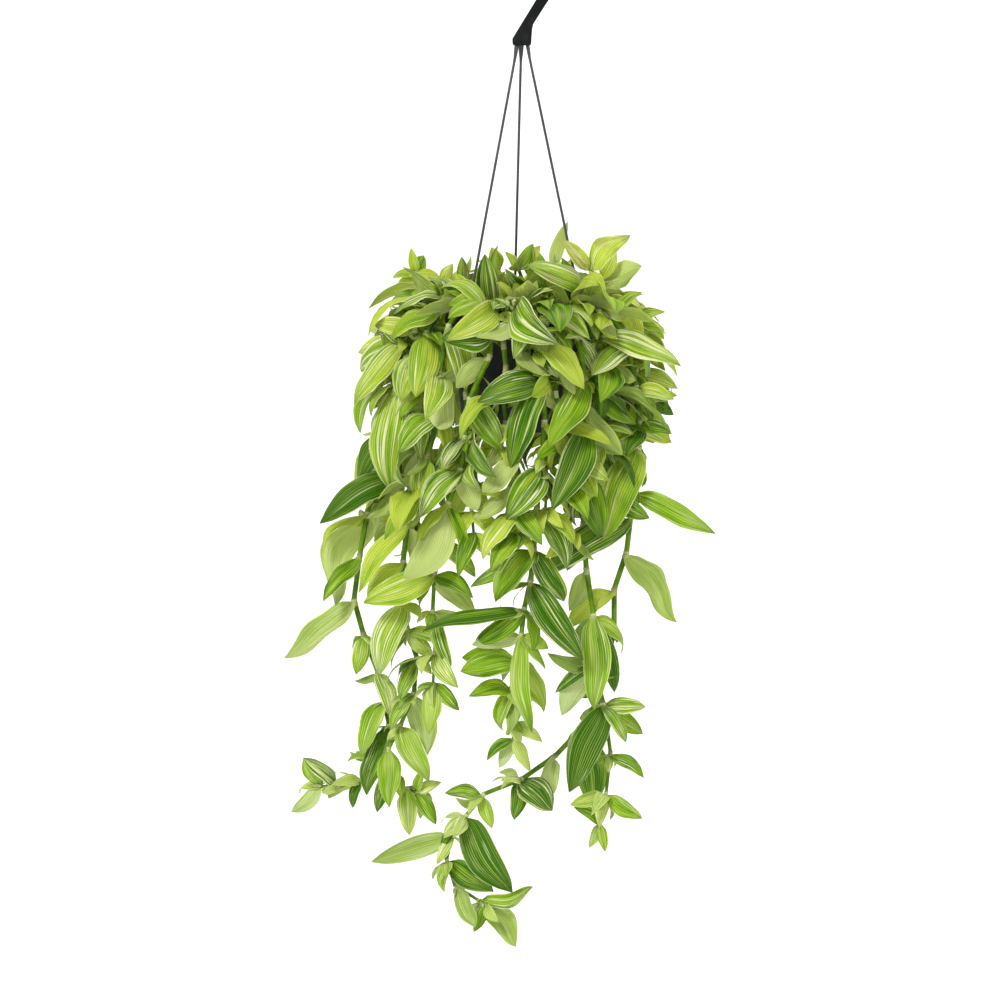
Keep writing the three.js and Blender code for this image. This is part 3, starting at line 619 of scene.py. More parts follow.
def buildSoil():
    # the pot's filling, with a lumpy top and loose crumbs lying half in it
    size = soilSize
    base = potSize["base"] + potSize["wall"] + size["gap"]
    wall = potSize["wall"]
    slope = (potSize["neckRadius"] - potSize["baseRadius"]) / (potSize["rim"] - potSize["lip"] - base)

    def inside(z):
        return potSize["baseRadius"] - wall + slope * (z - base) - size["gap"] - 0.4

    top = size["top"]
    rings = [(0, base), (inside(base) - 2, base), (inside(base), base + 2)]
    rings += [(inside(z), z) for z in np.linspace(base + 12, top - 4, size["wallRings"])]
    flat = len(rings) * size["around"]
    rim = inside(top - 4)
    for i in range(1, size["rings"] + 1):
        rings.append((rim * (1 - i / size["rings"]), top - 2.4 * (1 - min(1, i / 5)) - 0.6))
    points = latheRings(rings, size["around"])
    for i in range(flat, len(points)):
        x, y, z = points[i]
        lump = noise.fractal(Vector((x, y, 3.0)) * 0.11, 0.9, 2.1, 4)
        fade = min(1.0, (rim - math.hypot(x, y)) / 4 + 0.15)
        points[i][2] = z + size["bump"] * lump * fade * 0.5
    soil = makeMesh("pottingSoil", points, gridFaces(len(rings), size["around"]), [soilMaterial()])
    weld(soil)
    draw = np.random.default_rng(size["crumbSeed"])
    bm = bmesh.new()
    bm.from_mesh(soil.data)
    for _ in range(size["crumbs"]):
        radius = rim * size["crumbsReach"] * math.sqrt(draw.random())
        turn = draw.random() * 2 * math.pi
        grain = chance(size["crumbRadius"], draw.random() ** 2)
        made = bmesh.ops.create_icosphere(bm, subdivisions=1, radius=grain * mm)["verts"]
        stretch = chance(size["crumbStretch"], draw.random(3))
        place = Vector((radius * math.sin(turn), radius * math.cos(turn), top - 0.4)) * mm
        for v in made:
            rough = chance(size["crumbRough"], draw.random())
            v.co = Vector((v.co.x * stretch[0], v.co.y * stretch[1], v.co.z * stretch[2])) * rough + place
    bm.to_mesh(soil.data)
    bm.free()
    soil.data.polygons.foreach_set("use_smooth", [True] * len(soil.data.polygons))
    return settle(soil, "potting_soil", "soil")


soil = buildSoil()
print("soil:", len(soil.data.polygons), "faces")


# The stems and leaves keep the places and sizes of the solids' stems and blades.

stemSize = {
    "root": 2.7,  # radius at the soil
    "tip": 1.4,
    "thinsFrom": 0.6,  # share of the joints
    "collar": 8,  # first joint, over the soil
    "rootNear": 40,  # a stem that roots nearer to the middle has one more joint before the rim
    "nearMiddle": 12,  # nearer than this, a leaf heads the way its stem does
    "sheath": 3,  # from a joint to the place where its leaf leaves the stem
    "lastSheath": -2.5,  # and at the last joint, for a leaf of the solid
    "lastLoose": -2,  # and for a smaller one
    "sheathLength": 6.2,
    "sheathProud": 0.42,
    "jointSwell": 0.75,
    "jointRows": (0, 0.7, 1.2, 1.7),  # rows of points after a joint
    "blend": 4,  # length over which a stem turns at a joint
    "sides": 12,
    "bud": [(0, 1.5), (1.5, 1.9), (4, 1.8), (7, 1.35), (10, 0.75), (13, 0.12)],  # along it, radius
    "uvLength": 30,
}
leafSize = {
    "largeFrom": 62,
    "large": (20, 18),  # rows along a leaf and strips across it
    "small": (15, 12),
    "filler": (13, 10),
    "shoot": (9, 6),
    "thickness": 0.5,
    "midrib": 0.45,
    "fit": 0.97,  # of the width of the solid's blade
    "outline": (0.55, 0.8, 0.4015),  # how fast it widens from the base and from the tip, and their top
    "clasp": 10,  # length over which a leaf opens from the stem it clasps
    "pleats": 0.032,
    "twist": 0.55,
    "wave": 0.12,
    "sway": 0.06,
    "dip": 0.06,
    "curl": 0.6,
    "looseCurl": 2.2,
    "patch": (8, 4),  # rows and strips of the net that feels for what a leaf would touch
    "patchFrom": 2,  # rows left out at its base
    "meets": 0.15,  # how near a solid's point lies to the tip of a leaf that the solid has
}
# The sheet that stems are set out on: its middle, its top edge and how far it leans back.
sheet = {"middle": 521.5, "above": 54, "tilt": 0.14}

# The bends that a leaf may take to stay clear of its neighbours: outward, sideways, roll, size.
bends = [
  [0, 0, 0, 1], [0.2, 0, 0, 1], [-0.2, 0, 0, 1], [0.4, 0, 0.3, 1], [0.1, 0.2, -0.3, 0.97],
  [0.1, -0.2, 0.3, 0.97], [0.6, 0, 0, 0.95], [0.3, 0.4, 0.4, 0.92], [0.3, -0.4, -0.4, 0.92],
  [-0.35, 0.2, 0.2, 0.9], [0.8, 0.2, 0, 0.85], [0.8, -0.2, 0, 0.85], [0.2, 0.6, 0.5, 0.8],
  [0.2, -0.6, -0.5, 0.8], [0.5, 0, 0.8, 0.75], [0, 0, -0.8, 0.7], [0.5, 0.3, 0, 0.6],
  [0.5, -0.3, 0, 0.6], [1.2, 0.3, 0.5, 0.8], [1.2, -0.3, -0.5, 0.8], [0.2, 1, 0, 0.75],
  [0.2, -1, 0, 0.75], [-0.5, 0.6, 0, 0.65], [-0.5, -0.6, 0, 0.65], [0.1, 0, 0, 0.5],
]

# Stems set out joint by joint on a sheet (right, down, depth), then the leaves at the joint: the place of
# the tip, how far it comes forward and, for a leaf that shows its underside, -1, then a width of its own.
sheetStems = [
  ["long_stem_left", 256, 50, 11, [
    [446, 298, -20, [412, 270, 2, -1]], [420, 308, -30], [404, 338, -36, [355, 402, 10, 1, 28]],
    [399, 380, -38, [412, 490, 16]], [398, 424, -39, [358, 481, 0]], [401, 472, -40, [322, 521, 22, 1, 30]],
    [369, 510, -40, [321, 597, 8, -1, 36]], [361, 553, -41, [324, 598, 22]],
    [355, 598, -41, [287, 659, 6, -1, 44]], [364, 632, -41, [357, 673, 10]],
    [378, 670, -41, [355, 680, 4, -1]], [384, 698, -42, [362, 756, 16]], [389, 724, -43, [366, 794, 22]],
    [380, 752, -44], [363, 780, -46, [353, 808, 10]], [340, 787, -48, [304, 757, 4]],
    [320, 786, -50, [292, 812, 10, -1], [312, 750, 0], [297, 760, 12]],
  ]],
  ["long_stem_left_front", 228, 50, 23, [
    [466, 302, -50], [450, 326, -70, [476, 388, 14]], [441, 372, -79],
    [440, 414, -81, [401, 451, 16, 1, 32]], [430, 452, -79, [428, 512, 2], [412, 495, 10, -1, 14]],
    [415, 486, -77], [409, 520, -76, [397, 558, 4, -1, 22], [361, 590, 12, 1, 20]],
    [405, 558, -76, [420, 598, 6, 1, 16]], [404, 598, -76, [381, 672, 22]],
    [408, 625, -76, [394, 648, 14], [446, 646, 12]], [418, 655, -75, [402, 697, 14]],
    [415, 690, -74, [428, 753, 18, -1]], [402, 722, -72, [430, 779, 22]], [390, 746, -72],
    [389, 770, -71, [378, 810, 14]], [404, 786, -70, [410, 834, 10]],
    [419, 792, -70, [442, 820, 10], [442, 780, 6], [424, 764, 0]],
  ]],
  ["long_stem_front", 200, 36, 37, [
    [497, 305, -70], [493, 332, -87, [441, 340, 12, 1, 34]], [490, 356, -93, [466, 401, 14, -1]],
    [471, 398, -96, [503, 450, 14, 1, 28]], [466, 435, -96, [440, 470, 6]],
    [462, 467, -96, [475, 514, 14, -1, 24], [421, 515, 18]],
    [450, 500, -95, [414, 584, 50, -1, 38], [463, 569, 2, 1, 13]], [439, 532, -94, [446, 573, 10, -1, 22]],
    [436, 570, -93, [366, 599, 10], [474, 594, 16]], [434, 607, -92, [470, 614, 6, -1]],
    [436, 648, -91, [459, 684, 14]], [434, 682, -90, [460, 707, 8], [430, 730, 12]],
  ]],
  ["long_stem_middle", 178, 50, 41, [
    [524, 306, -78, [509, 371, 16, 1, 24]], [533, 340, -95],
    [541, 378, -104, [478, 402, 14, 1, 32], [510, 467, 10]], [543, 420, -107, [567, 464, 4]],
    [541, 464, -107, [506, 517, 16, 1, 33]], [536, 505, -106, [566, 566, 6]],
    [533, 545, -105, [495, 598, 14, 1, 33]], [530, 577, -103, [581, 656, 18, 1, 31]],
    [524, 604, -101, [423, 626, 10, 1, 18]], [521, 630, -100, [472, 641, 2, -1], [531, 728, 16, 1, 20]],
    [515, 654, -98, [461, 667, 16, 1, 30]], [511, 684, -96, [469, 692, 10], [510, 736, 16, -1]],
    [512, 716, -95, [542, 738, 4]], [513, 738, -95, [487, 757, 4], [530, 768, 6], [499, 764, 12, -1]],
  ]],
  ["long_stem_right_front", 146, 50, 59, [
    [564, 304, -64], [575, 335, -82], [583, 378, -90, [529, 441, 16]], [584, 425, -92, [541, 506, 20]],
    [583, 470, -92, [598, 536, 2]], [582, 520, -72, [556, 566, 0, -1]], [585, 566, -68, [560, 606, 2, -1]],
    [592, 612, -76, [592, 706, 30, 1, 30], [568, 648, 2, -1]],
    [591, 658, -88, [560, 712, 4, -1], [546, 650, 4, -1]], [602, 700, -86, [568, 789, 16], [625, 738, 14]],
    [609, 749, -86, [642, 774, 12]], [605, 790, -86, [641, 815, 8], [569, 802, 8]],
    [598, 824, -86, [573, 804, 6], [604, 849, 8], [588, 846, 0, -1]],
  ]],
  ["long_stem_right", 120, 50, 67, [
    [586, 300, -40], [608, 312, -50], [625, 342, -55, [560, 365, 20]], [633, 385, -56, [671, 398, 8]],
    [637, 420, -56, [669, 432, 6], [602, 444, 18]], [636, 446, -56, [586, 531, 22]],
    [634, 489, -56, [713, 531, 8, 1, 25]], [629, 514, -56, [541, 571, 50, 1, 32]],
    [625, 550, -56, [674, 621, 12, -1, 38]], [613, 587, -56, [566, 626, 2]],
    [613, 627, -56, [603, 642, -4, 1, 10]], [606, 665, -55, [586, 702, -10, 1, 20]],
    [597, 703, -56, [643, 733, -4, 1, 22]], [580, 728, -60], [555, 754, -67, [553, 792, 10, -1, 20]],
    [522, 777, -74, [552, 808, 14, 1, 34], [514, 818, 10, 1, 18]],
    [484, 792, -79, [445, 791, 0], [492, 826, 10]], [467, 813, -81, [512, 891, 14]],
    [453, 832, -82, [372, 860, 6, -1, 24]], [447, 858, -82, [438, 868, 10, -1], [494, 890, 6]],
    [455, 884, -82, [488, 922, 12, -1]], [478, 899, -83, [533, 886, 4, 1, 16]],
    [488, 905, -83, [516, 946, 6, -1, 26]],
  ]],
  ["top_stem_left", 242, 22.8, 71, [
    [492, 312, -18, [485, 253, 8, 1, 24], [498, 243, -6, 1, 14]], [486, 290, -4],
  ]],
  ["top_stem_mid_right", 84, 20, 73, [
    [543, 312, 4], [550, 290, 6, [524, 252, 4]], [553, 264, 8, [567, 219, 0, -1, 15], [582, 262, 20]],
  ]],
  ["top_stem_right_front", 138, 24, 79, [
    [543, 312, -22], [565, 302, -31, [561, 257, 0]], [584, 291, -34, [523, 267, 14, 1, 29]],
    [590, 268, -30, [628, 234, 2, 1, 29], [562, 240, 4], [603, 298, 18]],
  ]],
  ["top_stem_right_back", 31, 23.3, 83, [
    [543, 304, 24], [574, 290, 30], [604, 274, 30, [642, 263, 12, -1, 36], [616, 246, 0], [628, 290, 14]],
  ]],
  ["top_stem_far_left", 292, 21.5, 89, [
    [491, 306, 7], [468, 289, 6], [446, 283, 4, [472, 253, 2, -1], [408, 273, 8]], [428, 277, 2],
    [414, 270, 0, [412, 246, 2], [393, 276, 4]],
  ]],
  ["top_stem_back", 345, 22.8, 97, [
    [511, 306, 30], [505, 284, 36], [498, 262, 40],
  ]],
  ["top_stem_middle", 180, 3, 101, [
    [523, 310, -6], [526, 288, -10], [518, 266, -12, [540, 244, 0], [505, 250, 0]],
  ]],
]

# Stems set out by rule round the rim: azimuth, root radius, slope over the rim, how much steeper each
# next joint falls, spacing of the joints, number of joints past the rim, seed, leaf size.
rimStems = [
  [128, 36, -20, 40, 25, 8, 103], [136, 50, -30, 45, 24, 6, 107], [153, 36, -35, 50, 24, 9, 109],
  [160, 50, -30, 50, 23, 6, 113], [167, 36, -35, 50, 24, 8, 127], [185, 36, -35, 50, 24, 9, 131],
  [192, 50, -30, 50, 23, 6, 137], [208, 50, -35, 50, 24, 9, 139], [216, 36, -30, 50, 24, 7, 149],
  [240, 36, -15, 40, 25, 9, 151], [247, 50, -5, 40, 25, 6, 157], [264, 36, 0, 36, 25, 8, 163],
  [270, 50, 5, 38, 25, 5, 167], [281, 36, -8, 34, 26, 8, 173], [290, 50, 5, 38, 25, 5, 179],
  [300, 36, -8, 34, 26, 7, 181], [312, 50, 5, 38, 26, 6, 191], [324, 36, -8, 34, 26, 8, 193],
  [336, 50, 0, 40, 26, 5, 197], [346, 36, -8, 36, 26, 7, 199], [2, 50, 0, 40, 26, 6, 211],
  [14, 36, -8, 34, 26, 7, 223], [26, 50, 5, 40, 26, 5, 227], [38, 36, -8, 34, 26, 8, 229],
  [50, 50, 5, 38, 26, 5, 233], [62, 36, -8, 34, 26, 7, 239, 0.85], [74, 50, 0, 38, 24, 5, 241, 0.75],
  [85, 36, -12, 38, 23, 8, 251, 0.7], [96, 50, -5, 42, 22, 6, 257, 0.7], [106, 36, -12, 40, 22, 8, 263, 0.7],
]

# Leaves of those stems that are set out on the sheet: stem, joint, place of the tip, how far it comes
# forward and, for an underside, -1, then a width of its own.
rimTips = [
  [1, 8, 643, 431, 4], [2, 3, 545, 325, 20, 1, 16], [2, 4, 533, 336, 30, 1, 14], [3, 4, 542, 358, 14],
  [7, 2, 531, 341, 26], [8, 5, 443, 345, 10, 1, 34], [9, 3, 449, 306, 14], [10, 4, 392, 340, 8, 1, 28],
  [10, 6, 406, 397, 12], [10, 7, 404, 420, 6], [11, 3, 398, 312, 0], [11, 4, 364, 322, 4],
  [26, 6, 681, 371, 0], [27, 6, 662, 353, 12], [28, 5, 664, 309, 12], [28, 8, 677, 393, 14],
  [29, 5, 617, 371, 34], [30, 7, 587, 400, 44],
]

# How light and how striped the leaves that stand out in the photo are, by the place of the tip, and how
# far some of them bow to one side, as a share of their length.
knownLooks = {
    (322, 521): (-0.05, 0.35), (321, 597): (0.75, 0.2, -0.19), (324, 598): (0.3, 0.25),
    (287, 659): (0.5, 0.8, -0.11), (357, 673): (0.5, 0.7), (381, 672): (0.6, 0.95), (361, 590): (0.75, 0.3),
    (397, 558): (0.8, 0.3), (414, 584): (0.95, 0.3), (446, 573): (0.95, 0.3), (366, 599): (0.75, 0.45),
    (474, 594): (0.3, 0.4), (495, 598): (0.3, 0.5), (423, 626): (0.05, 0.2), (472, 641): (0.7, 0.3),
    (461, 667): (0.5, 0.3), (469, 692): (0.4, 0.3), (581, 656): (-0.1, 0.6), (531, 728): (0.55, 0.4),
    (541, 571): (0.1, 0.7), (586, 531): (0.5, 0.7), (713, 531): (0.4, 0.6, 0.02),
    (674, 621): (0.35, 0.3, 0.2), (566, 626): (0.9, 0.2), (592, 706): (0.5, 0.6), (560, 712): (0.75, 0.3),
    (568, 789): (-0.15, 0.3, 0.05), (625, 738): (0.35, 0.7), (643, 733): (0.4, 0.5), (642, 774): (0.3, 0.5),
    (641, 815): (0.5, 0.5), (552, 808): (-0.25, 0.85), (514, 818): (0.1, 0.4), (553, 792): (0.5, 0.4),
    (512, 891): (-0.3, 0.4, 0.05), (372, 860): (0.35, 0.5, -0.01), (494, 890): (0.15, 0.5, 0.06),
    (533, 886): (0.4, 0.8, 0.14), (488, 922): (0.25, 0.4, -0.1), (516, 946): (0.25, 0.5, 0.1),
    (362, 756): (0.55, 0.5), (366, 794): (0.0, 0.4), (353, 808): (-0.05, 0.5), (378, 810): (-0.05, 0.5),
    (410, 834): (0.7, 0.7), (442, 820): (0.35, 0.5), (430, 779): (0.6, 0.7), (428, 753): (0.5, 0.5),
    (292, 812): (0.6, 0.5), (312, 750): (0.5, 0.8), (297, 760): (0.5, 0.8), (402, 697): (0.4, 0.6),
    (394, 648): (0.4, 0.7), (446, 646): (0.6, 0.8), (459, 684): (0.6, 0.9), (460, 707): (0.3, 0.6),
    (355, 402): (0.65, 0.95), (412, 490): (0.55, 0.9), (358, 481): (0.0, 0.2), (401, 451): (0.4, 0.85),
    (421, 515): (0.35, 0.85), (475, 514): (0.95, 0.2), (503, 450): (0.25, 0.5), (441, 340): (0.1, 0.4),
    (443, 345): (0.0, 0.35), (466, 401): (0.5, 0.3), (478, 402): (0.1, 0.5), (509, 371): (0.5, 0.9),
    (510, 467): (0.2, 0.5), (506, 517): (0.3, 0.6), (529, 441): (0.45, 0.5), (541, 506): (0.1, 0.5),
    (560, 365): (0.5, 1.0), (523, 267): (0.5, 0.9), (485, 253): (0.25, 0.7), (628, 234): (0.8, 0.85, -0.12),
    (642, 263): (0.75, 0.4), (412, 246): (0.8, 0.5), (567, 219): (0.8, 0.5, -0.02), (392, 340): (0.6, 0.5),
    (545, 325): (0.5, 1.0), (533, 336): (0.5, 1.0), (531, 341): (0.6, 0.9), (664, 309): (0.5, 0.9),
    (566, 566): (0.25, 0.8),
}

# Places on the sheet where the pot shows between the leaves: right, down, half the width and height.
potWindows = [(501, 362, 9, 18), (465, 404, 5, 17), (455, 323, 8, 4)]


def sheetPoint(x, y, depth):
    # a place on the setting-out sheet, which is seen from a little above
    return np.array([x - sheet["middle"], depth, -(y + sheet["above"]) - depth * sheet["tilt"]])


def seenHeight(p):
    return p[..., 2] + p[..., 1] * sheet["tilt"]


def onSheet(points):
    return points[:, 0] + sheet["middle"], -seenHeight(points) - sheet["above"]


def randomFrom(seed):
    state = seed * 7919

    def draw():
        nonlocal state
        state = state * 16807 % 2147483647
        return state / 2147483647

    for _ in range(5):
        draw()
    return draw


def tracedTip(depth, x, y, forward, face=1, width=None):
    return {"place": sheetPoint(x, y, depth - forward), "spot": (x, y), "face": face, "width": width}


def rootJoints(azimuth, root):
    top = soilSize["top"]
    heights = (top - soilSize["holeDepth"], top + stemSize["collar"])
    return [outward(azimuth)[0] * root + up * z for z in heights]


def sheetStem(name, azimuth, root, seed, rows):
    joints = rootJoints(azimuth, root)
    tips = [[], []]
    for x, y, depth, *leaves in rows:
        joints.append(sheetPoint(x, y, depth))
        tips.append([tracedTip(depth, *leaf) for leaf in leaves])
    return {"name": name, "azimuth": azimuth, "seed": seed, "joints": joints, "tips": tips, "leaf": 1}


rimSize = {  # pairs are a least value and what chance adds to it
    "crest": (68, 9),  # radius at which a stem passes over the rim
    "crestOverRim": (15, 5),
    "crestJoint": 3,  # how much higher the joint before it lies than halfway
    "steepest": -86,
    "waver": 8,
    "sideways": (2, 3),
    "evenSpans": 3,  # spans past the rim that keep the table's length, later ones are longer
    "longer": 5,
    "shrink": 0.4,
}


def rimStem(number, azimuth, root, slope, fall, step, count, seed, leafScale=1):
    # over the rim and down, steeper at each joint and a little from side to side
    size = rimSize
    draw = randomFrom(seed)
    out, across = outward(azimuth)
    lift = draw()
    radius = chance(size["crest"], lift * 7 % 1)
    z = potSize["rim"] + size["crestOverRim"][0] + size["crestOverRim"][1] * lift
    joints = rootJoints(azimuth, root)
    if root < stemSize["rootNear"]:
        middle = (soilSize["top"] + stemSize["collar"] + z) / 2
        joints.append(out * ((root + radius) / 2) + up * (middle + size["crestJoint"]))
    joints.append(out * radius + up * z)
    side = 0
    for i in range(count):
        e = math.radians(max(size["steepest"], slope - fall * i - size["waver"] * draw()))
        length = step if i < size["evenSpans"] else step + size["longer"] - i * size["shrink"]
        radius += length * math.cos(e)
        z += length * math.sin(e)
        side += (1 if i % 2 else -1) * chance(size["sideways"], draw())
        joints.append(out * radius + up * z + across * side)
    tips = [[] for _ in joints]
    for stem, at, *leaf in rimTips:
        if stem == number:
            tips[at].append(tracedTip(joints[at][1], *leaf))
    return {"name": f"rim_stem_{number:02d}", "azimuth": azimuth, "seed": seed, "joints": joints,
            "tips": tips, "leaf": leafScale}


def layOutStems():
    stems = [sheetStem(*row) for row in sheetStems]
    stems += [rimStem(number, *row) for number, row in enumerate(rimStems, 1)]
    for stem in stems:
        joints = stem["joints"]
        spans = [unit(end - start) for start, end in zip(joints, joints[1:])]
        before, after = [spans[0], *spans], [*spans, spans[-1]]
        stem["tangents"] = [unit(a + b) for a, b in zip(before, after)]
        stem["axes"] = [*spans, stem["tangents"][-1]]
    return stems


def radiusAt(i, last):
    thin = stemSize["thinsFrom"]
    return stemSize["root"] + (stemSize["tip"] - stemSize["root"]) * max(0, i / last - thin) / (1 - thin)


def leafStart(stem, i, lastOffset):
    # where a leaf leaves its stem
    last = len(stem["joints"]) - 1
    axis = stem["axes"][i]
    base = stem["joints"][i] + axis * (stemSize["sheath"] if i < last else lastOffset)
    return {"base": base, "axis": axis, "stemRadius": radiusAt(i, last), "place": i / last}


def outFrom(stem, i):
    # the level direction away from the middle of the plant
    out = stem["joints"][i] * (1, 1, 0)
    if np.linalg.norm(out) < stemSize["nearMiddle"]:
        out = outward(stem["azimuth"])[0]
    return unit(out)


def facing(chord, show, roll=0.0):
    # square to a leaf's chord, turned to show as far as that goes, then rolled
    normal = unit(show - chord * show.dot(chord))
    return normal * math.cos(roll) + np.cross(chord, normal) * math.sin(roll)


leafRule = {  # how the solids' leaves are set out
    "atEnd": 3,  # leaves at a stem's last joint
    "length": (58, 28),
    "youngest": 0.55,  # share of its length that a leaf at the last joint has, then more at each joint
    "growth": 0.15,
    "second": 0.8,  # length and spread of the further leaves at a joint
    "secondSpread": 0.6,
    "fall": 0.7,
    "spread": (26, 40),
    "lift": (8, 38),
    "undersides": 0.14,
    "upright": 1.2,
    "widthShare": 0.43,  # of its length, up to a least width and a smaller share
    "widthLeast": 24,
    "widthLong": 0.13,
    "widthVaries": (0.92, 0.2),
    "arch": (0.08, 0.12),
    "roll": 1.7,
    "tracedRoll": 0.8,
    "folds": (-0.28, 0.22),
}


def plannedLeaves(stem):
    rule = leafRule
    draw = randomFrom(stem["seed"] + 1000)
    last = len(stem["joints"]) - 1
    leaves = []
    for i in range(2, last + 1):
        tangent, tips = stem["tangents"][i], stem["tips"][i]
        out = outFrom(stem, i)
        side = np.cross(up, out)
        for k in range(max(len(tips), rule["atEnd"] if i == last else 1)):
            r = [draw() for _ in range(7)]
            traced = tips[k] if k < len(tips) else None
            leaf = leafStart(stem, i, stemSize["lastSheath"])
            leaf.update(out=out, side=side, lean=tangent)
            if traced:
                reach = traced["place"] - leaf["base"]
                leaf.update(length=np.linalg.norm(reach), along=unit(reach), face=traced["face"],
                            spot=traced["spot"], show=out * 0.35 + front * 0.9, upright=0)
            else:
                young = min(1, rule["youngest"] + rule["growth"] * (last - i))
                length = chance(rule["length"], r[0]) * young * (rule["second"] if k else 1) * stem["leaf"]
                fall = unit(tangent - up * rule["fall"])
                hand = 1 if (i + k) % 2 else -1
                spread = chance(rule["spread"], r[1]) * (rule["secondSpread"] if k else 1)
                spread = math.radians(spread) * hand
                lift = math.radians(chance(rule["lift"], r[2]))
                along = unit(fall * math.cos(spread) + side * math.sin(spread))
                along = unit(along * math.cos(lift) + out * math.sin(lift))
                leaf.update(length=length, along=along, face=-1 if r[6] < rule["undersides"] else 1,
                            show=out, upright=max(0, tangent[2]) * rule["upright"])
            long = leaf["length"]
            width = min(rule["widthShare"] * long, rule["widthLeast"] + rule["widthLong"] * long)
            width *= chance(rule["widthVaries"], r[3])
            if traced and traced["width"]:
                width = traced["width"]
            leaf.update(width=width, arch=chance(rule["arch"], r[4]),
                        roll=(r[5] - 0.5) * rule["tracedRoll" if traced else "roll"],
                        fold=rule["folds"][0 if r[6] < 0.5 else 1])
            leaves.append(leaf)
    return leaves


def bentLeaf(leaf, bend):
    forward, sideways, turn, size = bend
    chord = unit(leaf["along"] + leaf["out"] * forward + leaf["side"] * sideways)
    show = leaf["show"] * 0.75 + up * 0.65 + leaf["lean"] * leaf["upright"]
    normal = facing(chord, show, leaf["roll"] + turn) * leaf["face"]
    return {**leaf, "chord": chord, "normal": normal, "across": np.cross(chord, normal),
            "length": leaf["length"] * size, "width": leaf["width"] * size}


def keptLeaf(leaf, tips):
    # the solid's blade took the first bend that kept clear of its neighbours, or was left out
    for bend in bends:
        shape = bentLeaf(leaf, bend)
        tip = shape["base"] + shape["chord"] * shape["length"]
        if tips.find(Vector(tip))[2] < leafSize["meets"]:
            return shape
    return None


def addPoints(plant, points, looks):
    first = len(plant["points"])
    plant["points"].extend(points)
    plant["looks"].extend(looks)
    return first


def addFace(plant, corners, finish, uvs):
    plant["faces"].append(corners)
    plant["finish"].append(finish)
    plant["uvs"].extend(uvs)


def stemRings(stem):
    # centre, direction, radius, ring mark, sheath mark and distance along, straight between the joints
    size = stemSize
    joints, tangents = stem["joints"], stem["tangents"]
    last = len(joints) - 1
    far = size["sheathLength"]
    rings = []
    travelled = 0
    for i in range(last):
        axis = stem["axes"][i]
        length = np.linalg.norm(joints[i + 1] - joints[i])
        sheathed = length >= far + 9
        rows = [length * 0.5, length - 1.4, length - 0.6]
        if sheathed:
            rows = [3.4, far - 0.5, far, far + 0.25, far + 2, length * 0.5, length - 4, *rows[1:]]
        for d in (*size["jointRows"], *rows):
            ring = math.exp(-(min(d, length - d) / 0.9) ** 2) if i > 0 else 0
            sheath = 1.0 if i > 1 and sheathed and 1.0 < d <= far else 0.0
            proud = sheath * size["sheathProud"] * (0.75 + 0.25 * d / far)
            radius = radiusAt(i + d / length, last) + (size["jointSwell"] * ring + proud)
            direction = axis
            for share, tangent in ((d / size["blend"], tangents[i]),
                                   ((length - d) / size["blend"], tangents[i + 1])):
                if share < 1:
                    direction = unit(tangent * (1 - share) + axis * share)
            rings.append((joints[i] + axis * d, direction, radius, ring, sheath, travelled + d))
        travelled += length
    for d, radius in size["bud"]:
        rings.append((joints[last] + tangents[last] * d, tangents[last], radius, 0, 0.6, travelled + d))
    return rings


def addStem(stem, plant):
    # with a swollen ring and a pale sheath at each joint and a small bud at the end
    rings, sides = stemRings(stem), stemSize["sides"]
    u = np.array([1.0, 0, 0])
    points, looks = [], []
    for centre, direction, radius, ring, sheath, _ in rings:
        u = unit(u - direction * u.dot(direction))
        v = np.cross(direction, u)
        for k in range(sides):
            a = 2 * math.pi * k / sides
            points.append(centre + (u * math.cos(a) + v * math.sin(a)) * radius)
            looks.append((ring, sheath, 0))
    first = addPoints(plant, points, looks)
    heights = [ring[-1] / stemSize["uvLength"] for ring in rings]
    for i, (low, high) in enumerate(zip(heights, heights[1:])):
        a, b = first + i * sides, first + (i + 1) * sides
        for k in range(sides):
            n = (k + 1) % sides
            left, right = k / sides, (k + 1) / sides
            uvs = ((left, low), (right, low), (right, high), (left, high))
            addFace(plant, (a + k, a + n, b + n, b + k), 2, uvs)
    ends = ((first, range(sides - 1, -1, -1)), (first + (len(rings) - 1) * sides, range(sides)))
    for start, order in ends:
        addFace(plant, tuple(start + k for k in order), 2, tuple((k / sides, 0) for k in order))


